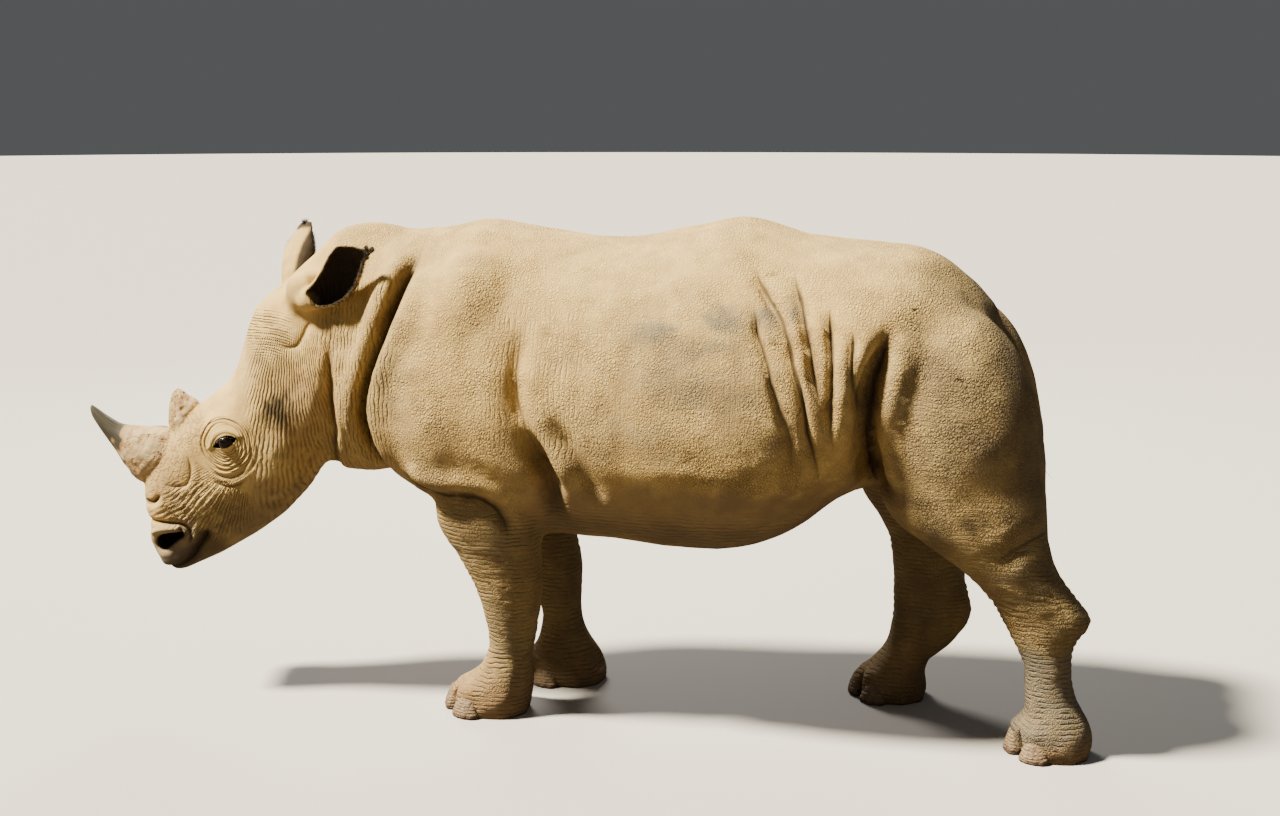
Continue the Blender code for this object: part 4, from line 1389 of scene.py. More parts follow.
    def shaded_belly(self) -> Array:
        """The smooth underside, painted a darker brown as its shade.

        Returns:
            The mark at each point, between 0 and 1.
        """
        x, _, z = self.straight.T
        ragged = 0.05 * value_noise(self.straight, 0.07, 44)
        low = falloff(z + ragged, 0.81, 0.87) * rise(z, 0.60, 0.68)
        return low * falloff(x, 0.45, 0.55) * rise(x, -0.72, -0.62)

    def pebble(self) -> Array:
        """Where the hide is cracked into pebbles: shoulder, flank, rump and thigh, least on the face.

        Returns:
            The mark at each point, between 0 and 1.
        """
        x, _, z = self.straight.T
        face = falloff(x, -1.50, -1.35)
        patchy = 0.5 + 0.5 * value_noise(self.straight, 0.22, 43)
        rump = 0.25 * rise(x, 0.35, 0.60)
        rump += 0.45 * falloff(oval(x, z, (0.12, 0.93), (0.30, 0.10)), 0.5, 1.1)
        return (0.45 + rump + 0.35 * patchy) * (1 - 0.85 * face) * (1 - 0.75 * self.shaded_belly())


HIDE_MARKS = ("dark", "dun_and_shade", "grey", "lip", "hollow_shade", "rust", "pale", "drape", "upright", "level", "brow",
              "fan", "bag", "shaded_belly", "pebble", "horny")


# fine lines of the hide: the mark, the axis across, what they bend round and its true radius, their
# spacing, their waver and their strength
FINE_LINES = (
    ("drape", "X", (POLL, 0.55), 0.0125, 5.5, 0.95),
    ("upright", "X", None, 0.0165, 8.0, 1.15),
    ("level", "Z", None, 0.0155, 6.5, 1.0),
    ("brow", "Y", ((-1.66, 0.98), 0.3), 0.009, 3.5, 0.9),
    ("fan", "X", (TEMPLE, 0.24), 0.0095, 5.0, 1.0),
    ("bag", "Y", ((EYE_PLACE[0], EYE_PLACE[2]), 0.05), 0.0085, 1.8, 1.0),
)


# ---- node helpers and shared groups ----

class Graph:
    """Short calls that build a node tree."""

    def __init__(self, tree: bpy.types.NodeTree) -> None:
        """Keeps the tree that the nodes go in."""
        self.tree = tree

    def feed(self, socket: Socket, source: object) -> None:
        """Links an output to the socket, or sets the socket's own value.

        Args:
            socket: an input.
            source: an output, or a plain value.
        """
        if isinstance(source, Socket):
            self.tree.links.new(source, socket)
        elif isinstance(source, tuple) and socket.type == "RGBA":
            socket.default_value = (*source, 1.0)
        else:
            socket.default_value = source

    def add(self, kind: str, inputs: dict[str | int, object] | None = None,
            **settings: object) -> bpy.types.Node:
        """Makes a node.

        Args:
            kind: the node's type, without the words that all of them start with.
            inputs: what its inputs are linked or set to.
            settings: its own properties.

        Returns:
            The node.
        """
        node = self.tree.nodes.new(kind if kind.startswith("NodeGroup") else f"ShaderNode{kind}")
        for name, value in settings.items():
            setattr(node, name, value)
        for name, value in (inputs or {}).items():
            self.feed(node.inputs[name], value)
        return node

    def math(self, operation: str, *values: object, clamp: bool = False) -> Socket:
        """A Math node over the given values."""
        return self.add("Math", dict(enumerate(values)), operation=operation, use_clamp=clamp).outputs[0]

    def times(self, *values: object, clamp: bool = False) -> Socket:
        """The product of two values."""
        return self.math("MULTIPLY", *values, clamp=clamp)

    def less(self, first: object, second: object) -> Socket:
        """The first value less the second."""
        return self.math("SUBTRACT", first, second)

    def ramp(self, value: object, slope: float, base: float) -> Socket:
        """The value times the slope, over the base."""
        return self.math("MULTIPLY_ADD", value, slope, base)

    def mix(self, share: object, first: object, second: object) -> Socket:
        """A colour between two colours."""
        return self.add("Mix", {"Factor": share, 6: first, 7: second}, data_type="RGBA").outputs[2]

    def layered(self, colour: object,
                rows: tuple[tuple[object, object, Colour], ...]) -> Socket:
        """Lays colours over one another.

        Args:
            colour: the lowest one.
            rows: for each layer where it lies, how strongly, and its colour.

        Returns:
            What shows in the end.
        """
        for mask, share, tone in rows:
            colour = self.mix(self.times(mask, share), colour, tone)
        return colour

    def graded(self, value: object, low: object, high: object) -> Socket:
        """A smooth step from 0 at low to 1 at high."""
        return self.add("MapRange", {"Value": value, "From Min": low, "From Max": high},
                        interpolation_type="SMOOTHSTEP").outputs["Result"]

    def noise(self, vector: object, scale: object, detail: float = 2.0, rough: float = 0.5,
              twist: float = 0.0) -> Socket:
        """A noise texture's value."""
        return self.add("TexNoise", {"Vector": vector, "Scale": scale, "Detail": detail, "Roughness": rough,
                                     "Distortion": twist}).outputs["Fac"]

    def mapped(self, vector: object, scale: tuple[float, float, float]) -> Socket:
        """The vector stretched."""
        return self.add("Mapping", {"Vector": vector, "Scale": scale}, vector_type="POINT").outputs[0]

    def mark(self, name: str) -> Socket:
        """The value of one of the piece's own attributes."""
        return self.add("Attribute", attribute_name=name).outputs["Fac"]

    def polar(self, rest: object, centre: Point, middle: float) -> Socket:
        """The side view as distances round a point, out from it, and aside.

        Args:
            rest: places in the straight animal.
            centre: the point, as x and z.
            middle: the radius at which distances round it are true.

        Returns:
            A vector of the distance round, the distance out and y.
        """
        parts = self.add("SeparateXYZ", {0: rest}).outputs
        x, z = self.less(parts["X"], centre[0]), self.less(parts["Z"], centre[1])
        turn = self.math("ARCTAN2", x, self.times(z, -1.0))
        squares = self.math("ADD", self.times(x, x), self.times(z, z))
        return self.add("CombineXYZ", {"X": self.times(turn, middle), "Y": self.math("SQRT", squares),
                                       "Z": parts["Y"]}).outputs[0]


class SharedGroup:
    """The node groups that more than one finish uses, each built once."""

    @staticmethod
    def start(name: str, defaults: dict[str, float],
              result: str) -> tuple[Graph, object, Socket]:
        """Makes a group with a Vector input.

        Args:
            name: the group's name.
            defaults: its other inputs, with their own values.
            result: the name of its output.

        Returns:
            Its graph, its inputs by name, and the socket that its output comes from.
        """
        tree = bpy.data.node_groups.new(name, "ShaderNodeTree")
        tree.interface.new_socket("Vector", in_out="INPUT", socket_type="NodeSocketVector")
        for label, value in defaults.items():
            socket = tree.interface.new_socket(label, in_out="INPUT", socket_type="NodeSocketFloat")
            socket.default_value = value
        tree.interface.new_socket(result, in_out="OUTPUT", socket_type="NodeSocketFloat")
        graph = Graph(tree)
        return graph, graph.add("NodeGroupInput").outputs, graph.add("NodeGroupOutput").inputs[result]

    @classmethod
    @cache
    def cracks(cls) -> bpy.types.NodeTree:
        """Rounded pebbles between cracks: Height is 1 on a pebble and 0 in a crack.

        Returns:
            The group.
        """
        graph, given, result = cls.start("cracks", {"Scale": 60.0, "Waver": 0.006, "Width": 0.18}, "Height")
        swirl = graph.add("TexNoise", {"Vector": given["Vector"], "Scale": 38.0, "Detail": 1.0})
        moved = graph.add("VectorMath", {0: swirl.outputs["Color"], 1: given["Waver"], 2: given["Vector"]},
                          operation="MULTIPLY_ADD")
        cells = graph.add("TexVoronoi", {"Vector": moved.outputs[0], "Scale": given["Scale"]},
                          feature="DISTANCE_TO_EDGE")
        rounded = graph.math("DIVIDE", cells.outputs["Distance"], given["Width"], clamp=True)
        graph.feed(result, graph.math("POWER", rounded, 0.6))
        return graph.tree

    @classmethod
    @cache
    def lines(cls, way: str) -> bpy.types.NodeTree:
        """Wavering wrinkles side by side, across the given axis: Height is 1 between them and 0 in them.

        Args:
            way: the axis that the lines lie across.

        Returns:
            The group.
        """
        graph, given, result = cls.start(f"lines_{way.lower()}", {"Spacing": 0.012, "Waver": 4.0}, "Height")
        bands = graph.add("TexWave", {
            "Vector": given["Vector"], "Scale": graph.math("DIVIDE", math.pi / 10, given["Spacing"]),
            "Distortion": given["Waver"], "Detail": 2.5, "Detail Scale": 0.55, "Detail Roughness": 0.62,
        }, wave_type="BANDS", bands_direction=way, wave_profile="SIN")
        patchy = graph.graded(graph.noise(given["Vector"], 26.0), 0.34, 0.60)
        dip = graph.less(1.0, graph.math("POWER", bands.outputs["Fac"], 0.45))
        graph.feed(result, graph.less(1.0, graph.times(dip, graph.ramp(patchy, 0.7, 0.3))))
        return graph.tree

    @classmethod
    @cache
    def dust(cls) -> bpy.types.NodeTree:
        """Uneven dust: Mask is 1 where it lies thick.

        Returns:
            The group.
        """
        graph, given, result = cls.start("dust", {"Scale": 6.0, "Low": 0.40, "High": 0.66}, "Mask")
        cloud = graph.noise(given["Vector"], given["Scale"], 5.0, 0.62)
        graph.feed(result, graph.graded(cloud, given["Low"], given["High"]))
        return graph.tree


@dataclass(frozen=True)
class Finish:
    """What every finish has: a name, a new material with its shader, and shared groups."""

    name: str = "finish"

    def start(self) -> tuple[bpy.types.Material, Graph, bpy.types.Node, Socket]:
        """Makes the material.

        Returns:
            It, its graph, its Principled shader and the object's own coordinates.
        """
        material = bpy.data.materials.new(self.name)
        material.use_nodes = True
        graph = Graph(material.node_tree)
        shader = material.node_tree.nodes["Principled BSDF"]
        return material, graph, shader, graph.add("TexCoord").outputs["Object"]

    def shared(self) -> bpy.types.Material:
        """The finish's one material, made when it is first asked for."""
        return bpy.data.materials.get(self.name) or self.material()

    def group(self, graph: Graph, tree: bpy.types.NodeTree, vector: object,
              **values: float) -> Socket:
        """A shared group placed in this material with its own values."""
        return graph.add("Group", {"Vector": vector, **values}, node_tree=tree).outputs[0]

    def surface(self, graph: Graph, shader: bpy.types.Node, colour: object, rough: object) -> None:
        """Feeds the shader's colour and roughness."""
        graph.feed(shader.inputs["Base Color"], colour)
        graph.feed(shader.inputs["Roughness"], rough)

    def bump(self, graph: Graph, shader: bpy.types.Node, height: object, distance: float) -> None:
        """Feeds a height to the shader's normal."""
        node = graph.add("Bump", {"Strength": 1.0, "Distance": distance, "Height": height})
        graph.feed(shader.inputs["Normal"], node.outputs["Normal"])


@dataclass(frozen=True)
class HideFinish(Finish):
    """Dusty, pebbled and wrinkled hide, with painted shade in its cracks, lines, folds and hollows."""

    name: str = "dusty_hide"
    clay: Colour = (0.585, 0.385, 0.132)
    tan: Colour = (0.385, 0.262, 0.110)
    chalk: Colour = (0.775, 0.560, 0.205)
    bare: Colour = (0.190, 0.165, 0.120)
    rust: Colour = (0.270, 0.155, 0.085)
    # painted shade of the underside
    belly_shade: Colour = (0.190, 0.128, 0.070)
    blue: Colour = (0.190, 0.165, 0.145)
    # dull skin with little dust, and painted shade on the thighs, legs, jaw and rear
    dun_and_shade: Colour = (0.105, 0.086, 0.060)
    # painted shade in the fine lines and cracks, the folds' bottoms, the lid's arc and the hollows
    shade: Colour = (0.058, 0.040, 0.024)
    # near black: the gland spots and dark skin, and painted shade in the ears, nostrils, lids and on the
    # far ear's hand
    pitch: Colour = (0.012, 0.008, 0.006)
    flake: Colour = (0.500, 0.300, 0.130)

    def relief(self, graph: Graph, rest: object) -> Socket:
        """Draws the fine lines and cracks.

        Args:
            graph: the material's graph.
            rest: places in the straight animal.

        Returns:
            How deep they are at a point, between 0 and 1.
        """
        upright = graph.mapped(rest, (1.0, 1.0, 0.80))
        pebbles = self.group(graph, SharedGroup.cracks(), upright, Scale=108.0, Waver=0.013, Width=0.36)
        plates = self.group(graph, SharedGroup.cracks(), upright, Scale=41.0, Waver=0.030, Width=0.14)
        patchy = graph.graded(graph.noise(rest, 11.0, 3.0), 0.33, 0.62)
        rows = [(pebbles, "pebble", graph.ramp(patchy, 0.40, 0.46)),
                (plates, "pebble", graph.ramp(patchy, -0.20, 0.50)), (plates, "fan", 0.55)]
        for mark, way, bend, spacing, waver, share in FINE_LINES:
            vector = graph.polar(rest, *bend) if bend else rest
            rows.append((self.group(graph, SharedGroup.lines(way), vector, Spacing=spacing, Waver=waver),
                         mark, share))
        total = graph.times(graph.times(graph.mark("crease"), self.crease(graph, rest, 0.012)), 1.3)
        for value, mark, share in rows:
            dip = graph.times(graph.times(graph.less(1.0, value), graph.mark(mark)), share)
            total = graph.math("MAXIMUM", total, dip)
        return total

    def crease(self, graph: Graph, rest: object, width: float) -> Socket:
        """1 at the bottom of the nearest fold, 0 about this far from it, and narrower where it is slight.

        Args:
            graph: the material's graph.
            rest: places in the straight animal.
            width: how wide the dark line is.

        Returns:
            The dark line's strength.
        """
        uneven = graph.ramp(graph.noise(rest, 26.0, 3.0, 0.6), -1.6, 2.0)
        slight = graph.ramp(graph.mark("crease"), -0.7, 1.35)
        away = graph.times(graph.math("ABSOLUTE", graph.mark("away")), uneven)
        return graph.less(1.0, graph.graded(graph.times(away, slight), 0.0, width))

    def lid_arc(self, graph: Graph, rest: object) -> Socket:
        """The thin fold that arches over the upper lid from its front, cut into the bump and painted as a
        line of shade.

        Args:
            graph: the material's graph.
            rest: places in the straight animal.

        Returns:
            The fold's strength.
        """
        middle = (EYE_PLACE[0] - 0.006, EYE_PLACE[2] - 0.003)
        ring = graph.add("SeparateXYZ", {0: graph.polar(rest, middle, 1.0)}).outputs
        away = graph.math("ABSOLUTE", graph.less(ring["Y"], 0.081))
        line = graph.less(1.0, graph.graded(away, 0.0004, 0.0030))
        whole = graph.times(graph.math("GREATER_THAN", ring["X"], 0.0), 2 * math.pi)
        off = graph.math("ABSOLUTE", graph.math("ADD", graph.less(ring["X"], whole), 2.75))
        return graph.times(line, graph.less(1.0, graph.graded(off, 0.75, 1.25)))

    def material(self) -> bpy.types.Material:
        """Builds the material. The attribute rest holds places in the straight animal.

        Returns:
            The material.
        """
        material, graph, shader, _ = self.start()
        rest = graph.add("Attribute", attribute_name="rest").outputs["Vector"]
        broad = self.group(graph, SharedGroup.dust(), rest, Scale=2.3, Low=0.38, High=0.64)
        mottle = self.group(graph, SharedGroup.dust(), rest, Scale=13.0, Low=0.36, High=0.70)
        flakes = self.group(graph, SharedGroup.dust(), rest, Scale=60.0, Low=0.42, High=0.58)
        specks = graph.graded(graph.noise(rest, 34.0, 3.0, 0.6), 0.55, 0.72)
        fine = graph.noise(rest, 230.0, 3.0, 0.6)
        # the depth of the fine lines and cracks: the bump uses it, and the colour paints it as shade
        dips = self.relief(graph, rest)
        arc = graph.times(self.lid_arc(graph, rest), 0.8)
        rough = graph.times(flakes, graph.mark("horny"))
        height = graph.less(graph.less(graph.times(rough, 0.5), dips), arc)
        self.bump(graph, shader, graph.math("ADD", height, graph.times(fine, 0.22)), 0.0056)
        patch = graph.times(graph.mark("grey"), graph.math("ADD", 0.70, mottle), clamp=True)
        red = graph.times(graph.mark("rust"), graph.math("ADD", 0.35, broad), clamp=True)
        # painted shade along the bottoms of the folds
        shade_strength = graph.times(graph.mark("crease"), self.crease(graph, rest, 0.0085))
        colour = graph.layered(graph.mix(broad, self.tan, self.clay), (
            (mottle, 0.60, self.chalk), (specks, 0.52, self.tan), (graph.mark("pale"), 0.50, self.chalk),
            (graph.mark("shaded_belly"), 0.60, self.belly_shade), (graph.mark("lip"), 0.74, self.blue),
            (graph.mark("dun_and_shade"), graph.ramp(broad, -0.30, 0.78), self.dun_and_shade),
            (patch, 0.85, self.bare), (red, 0.60, self.rust), (rough, 0.5, self.flake),
            # painted shade: in the fine lines and cracks, along the folds' bottoms and the lid's arc, and
            # in the hollows
            (dips, 0.42, self.shade), (graph.math("MAXIMUM", shade_strength, arc), 1.0, self.shade),
            (graph.mark("hollow_shade"), 0.90, self.shade), (graph.mark("dark"), 1.0, self.pitch),
        ))
        self.surface(graph, shader, colour, graph.ramp(fine, -0.18, 0.92))
        shader.inputs["Specular IOR Level"].default_value = 0.25
        return material


@dataclass(frozen=True)
class HornFinish(Finish):
    """Fibrous horn: pale, flaked and cracked at its foot, smooth and grey-green towards the tip."""

    name: str = "fibrous_horn"
    tip: Colour = (0.098, 0.088, 0.058)
    streak: Colour = (0.050, 0.042, 0.027)
    body: Colour = (0.560, 0.420, 0.220)
    flake: Colour = (0.420, 0.235, 0.090)
    crack: Colour = (0.170, 0.090, 0.038)

    def material(self) -> bpy.types.Material:
        """Builds the material. The mark worn is 1 where the horn is rough, and the UV map runs along it.

        Returns:
            The material.
        """
        material, graph, shader, places = self.start()
        worn = graph.mark("worn")
        along = graph.add("UVMap", uv_map="Grain").outputs["UV"]
        fibres = graph.noise(graph.mapped(along, (90.0, 5.0, 1.0)), 1.0, 4.0, 0.65, 0.3)
        splits = graph.noise(graph.mapped(along, (11.0, 2.6, 1.0)), 1.0, 3.0, 0.6, 0.6)
        split = graph.graded(graph.math("ABSOLUTE", graph.less(splits, 0.5)), 0.002, 0.020)
        lumps = self.group(graph, SharedGroup.dust(), places, Scale=24.0, Low=0.50, High=0.60)
        stain = self.group(graph, SharedGroup.dust(), places, Scale=11.0, Low=0.46, High=0.62)
        split = graph.times(graph.less(1.0, split), graph.times(worn, graph.graded(lumps, 0.0, 1.0)))
        flaked = graph.times(lumps, worn)
        height = graph.times(fibres, graph.ramp(worn, 0.35, 0.25))
        height = graph.less(graph.less(height, graph.times(flaked, 0.7)), split)
        self.bump(graph, shader, height, 0.0030)
        grey = graph.mix(graph.graded(fibres, 0.42, 0.62), self.streak, self.tip)
        border = graph.less(graph.graded(worn, 0.02, 0.22), graph.graded(worn, 0.35, 0.90))
        colour = graph.layered(graph.mix(graph.graded(worn, 0.08, 0.45), grey, self.body), (
            (graph.times(stain, worn), 0.45, self.flake), (border, 0.75, self.flake),
            (flaked, 0.60, self.flake), (split, 0.75, self.crack),
        ))
        self.surface(graph, shader, colour, graph.ramp(worn, 0.35, 0.52))
        return material


@dataclass(frozen=True)
class NailFinish(Finish):
    """Scuffed, dusty horn of the toenails."""

    name: str = "scuffed_nail"
    horn: Colour = (0.190, 0.125, 0.068)
    dusty: Colour = (0.320, 0.225, 0.120)
    # the worn lower edge and cuticle, and painted shade in the ridges and chips
    worn: Colour = (0.085, 0.045, 0.025)

    def material(self) -> bpy.types.Material:
        """Builds the material. The mark edge is 1 along a nail's lower edge and its cuticle.

        Returns:
            The material.
        """
        material, graph, shader, places = self.start()
        dust = self.group(graph, SharedGroup.dust(), places, Scale=26.0, Low=0.36, High=0.66)
        ridges = self.group(graph, SharedGroup.lines("Z"), places, Spacing=0.010, Waver=5.0)
        chips = self.group(graph, SharedGroup.cracks(), places, Scale=55.0, Waver=0.014, Width=0.12)
        height = graph.math("ADD", graph.times(ridges, 0.5), graph.times(chips, 0.4))
        self.bump(graph, shader, height, 0.0040)
        # painted shade in the ridges' lines and the chips
        dips = graph.less(1.0, graph.math("MINIMUM", ridges, chips))
        colour = graph.layered(graph.mix(dust, self.horn, self.dusty), (
            (dips, 0.45, self.worn), (graph.mark("edge"), 0.8, self.worn)))
        self.surface(graph, shader, colour, graph.ramp(dust, 0.3, 0.55))
        return material


@dataclass(frozen=True)
class EyeFinish(Finish):
    """A wet, nearly black eye with a brown iris."""

    name: str = "wet_eye"
    pupil: Colour = (0.003, 0.002, 0.002)
    iris: Colour = (0.022, 0.010, 0.005)

    def material(self) -> bpy.types.Material:
        """Builds the material. The mark ring is 0 at the pupil's middle and 1 at the white.

        Returns:
            The material.
        """
        material, graph, shader, places = self.start()
        ring = graph.mark("ring")
        rays = graph.noise(places, 300.0)
        iris = graph.mix(graph.times(rays, 0.6), self.iris, self.pupil)
        colour = graph.mix(graph.graded(ring, 0.28, 0.36), self.pupil, iris)
        colour = graph.mix(graph.graded(ring, 0.62, 0.75), colour, self.pupil)
        self.surface(graph, shader, colour, graph.ramp(rays, 0.06, 0.10))
        shader.inputs["Specular IOR Level"].default_value = 0.35
        return material


@dataclass(frozen=True)
class HairFinish(Finish):
    """Dark, dusty bristle."""

    name: str = "dark_bristle"
    root: Colour = (0.030, 0.020, 0.014)
    dusty: Colour = (0.120, 0.085, 0.055)

    def material(self) -> bpy.types.Material:
        """Builds the material.

        Returns:
            The material.
        """
        material, graph, shader, places = self.start()
        tone = graph.noise(places, 160.0)
        colour = graph.mix(graph.graded(tone, 0.42, 0.75), self.root, self.dusty)
        self.surface(graph, shader, colour, graph.ramp(tone, 0.2, 0.5))
        return material


@dataclass(frozen=True)
class FloorFinish(Finish):
    """A plain pale studio floor."""

    name: str = "pale_floor"
    paint: Colour = (0.56, 0.54, 0.51)
    scuff: Colour = (0.50, 0.48, 0.45)
    soil: Colour = (0.085, 0.070, 0.054)  # what lights the underside, as dry ground would

    def material(self) -> bpy.types.Material:
        """Builds the material.

        Returns:
            The material.
        """
        material, graph, shader, places = self.start()
        colour = graph.mix(graph.times(graph.noise(places, 1.5, 3.0), 0.12), self.paint, self.scuff)
        seen = graph.add("LightPath").outputs["Is Camera Ray"]
        self.surface(graph, shader, graph.mix(seen, self.soil, colour), 0.85)
        return material


# ---- horns, eyes and toenails ----

@dataclass
class Horn:
    """A horn turned on a bent midline, rough at its foot."""

    name: str
    node: str
    neck: NeckTurn
    sections: tuple[tuple[Point, Point, float], ...]  # upper end, lower end, half width
    rough_until: float  # share of its length that is rough
    lumps: float
    around: int = 96
    rows: int = 120

    def build(self) -> bpy.types.Object:
        """Rolls a grid into the horn, closes its foot and dresses it.

        Returns:
            The piece.
        """
        bpy.ops.mesh.primitive_grid_add(x_subdivisions=self.around, y_subdivisions=self.rows, size=1.0)
        made = bpy.context.active_object
        made.name = made.data.name = self.name
        made.data.uv_layers.active.name = "Grain"
        flat = places_of(made.data)
        turn, share = (flat[:, 0] + 0.5) * 2 * math.pi, flat[:, 1] + 0.5
        set_places(made.data, self.neck.turned(self.places(turn, share)))
        with editing(made):
            bpy.ops.mesh.select_all(action="SELECT")
            bpy.ops.mesh.remove_doubles(threshold=MERGE)
            bpy.ops.mesh.select_all(action="SELECT")
            bpy.ops.mesh.fill_holes(sides=0)
            bpy.ops.mesh.normals_make_consistent(inside=False)
        made.data.shade_smooth()
        straight = self.neck.straight(places_of(made.data))
        foot, tip = np.array(self.sections[0][:2]).mean(axis=0), np.array(self.sections[-1][0])
        length = np.linalg.norm(tip - foot)
        share = ((straight[:, [0, 2]] - foot) @ ((tip - foot) / length)) / length
        ragged = 0.10 * value_noise(straight, 0.018, 51)
        worn = falloff(share + ragged, self.rough_until - 0.08, self.rough_until + 0.12)
        write_mark(made.data, "worn", worn)
        made.data.materials.append(HornFinish(name=f"worn_{self.name}").material())
        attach(made, "root")
        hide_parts(self.node)
        return made

    def places(self, turn: Array, share: Array) -> Array:
        """Shapes the horn's wall.

        Args:
            turn: how far round the horn each point lies, in radians.
            share: how far along it, between 0 and 1.

        Returns:
            The points' places in the straight animal.
        """
        rows = np.array([(*upper, *lower, half) for upper, lower, half in self.sections])
        run = smooth_run(tuple(map(tuple, rows)), 8)
        steps = np.linalg.norm(np.diff((run[:, 0:2] + run[:, 2:4]) / 2, axis=0), axis=1)
        length = np.concatenate([[0], np.cumsum(steps)])
        row = np.array([np.interp(share * length[-1], length, run[:, k]) for k in range(5)]).T
        middle = (row[:, 0:2] + row[:, 2:4]) / 2
        side = middle + (row[:, 0:2] - row[:, 2:4]) / 2 * np.cos(turn)[:, None]
        made = np.column_stack([side[:, 0], row[:, 4] * np.sin(turn), side[:, 1]])
        outward = made - np.column_stack([middle[:, 0], np.zeros(len(turn)), middle[:, 1]])
        size = np.linalg.norm(outward, axis=1)[:, None] + 1e-6
        foot = falloff(share, self.rough_until - 0.1, self.rough_until + 0.1)
        lumps = value_noise(made, 0.026, 52) + 0.6 * value_noise(made, 0.012, 53)
        ribs = value_noise(np.column_stack([np.cos(turn), np.sin(turn), share * 0.6]), 0.11, 54)
        push = foot * self.lumps * (lumps + 0.5) + (0.0007 + 0.0020 * foot) * ribs
        return made + outward / size * np.minimum(push, 0.8 * size[:, 0])[:, None]


@dataclass
class Eyeball:
    """One eye."""

    side: str
    neck: NeckTurn
    cornea: float = 0.0012  # how far it stands out
    white: float = 60.0  # degrees from the pupil's middle to the white

    def build(self) -> bpy.types.Object:
        """A ball in the place of the CAD eye, with its cornea a little raised.

        Returns:
            The piece.
        """
        node = f"eye_{self.side}"
        centre = box_centre(node)
        low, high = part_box(node)
        radius = (high.z - low.z) / 2
        bpy.ops.mesh.primitive_uv_sphere_add(segments=64, ring_count=40, radius=radius, location=centre)
        made = bpy.context.active_object
        made.name = made.data.name = f"eyeball_{self.side}"
        bpy.ops.object.transform_apply(location=True, rotation=True, scale=True)
        sign, angle = dict(SIDES)[self.side], self.neck.turn
        look = np.array([-math.sin(angle) * sign - 0.30, sign * math.cos(angle), 0.02])
        look /= np.linalg.norm(look)
        places = places_of(made.data)
        outward = (places - np.array(centre)) / radius
        ring = np.degrees(np.arccos(np.clip(outward @ look, -1, 1))) / self.white
        set_places(made.data, places + outward * (self.cornea * falloff(ring, 0.2, 0.8))[:, None])
        write_mark(made.data, "ring", np.clip(ring, 0, 1))
        made.data.shade_smooth()
        made.data.materials.append(EyeFinish(name=f"wet_eye_{self.side}").material())
        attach(made, "root")
        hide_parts(node)
        return made


@dataclass
class Toenail:
    """One toenail: its solid's plate, rounded, swollen and scuffed."""

    node: str
    swell: float = 0.0105

    def build(self) -> bpy.types.Object:
        """Rounds and roughens a copy of the CAD nail.

        Returns:
            The piece.
        """
        made = cad_copy(self.node, self.node.replace("toenail", "nail"))
        apply(made, "SUBSURF", levels=3, render_levels=3)
        places, normals = places_of(made.data), normals_of(made.data)
        low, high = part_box(self.node)
        share = (places[:, 2] - low.z) / (high.z - low.z)
        ridges = value_noise(places, (0.020, 0.020, 0.008), 61) + value_noise(places, 0.006, 62)
        push = self.swell * (1.15 - 0.55 * share ** 2) + 0.0012 * ridges
        moved = places + normals * push[:, None]
        moved[:, 2] = np.maximum(moved[:, 2], 0.0015)
        set_places(made.data, moved)
        edge = falloff(share + 0.05 * ridges, 0.06, 0.20) + falloff(-share + 0.05 * ridges, -0.97, -0.82)
        write_mark(made.data, "edge", np.clip(edge, 0, 1))
        made.data.shade_smooth()
        made.data.materials.append(NailFinish().shared())
        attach(made, "root")
        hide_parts(self.node)
        return made


# ---- hair ----

HAIR_RINGS = ((0.0, 1.0), (0.4, 0.8), (0.75, 0.45))  # share of a hair's length, share of its width
HAIR_TURNS = (0.0, 2.094, 4.189)  # where its three edges lie, in radians


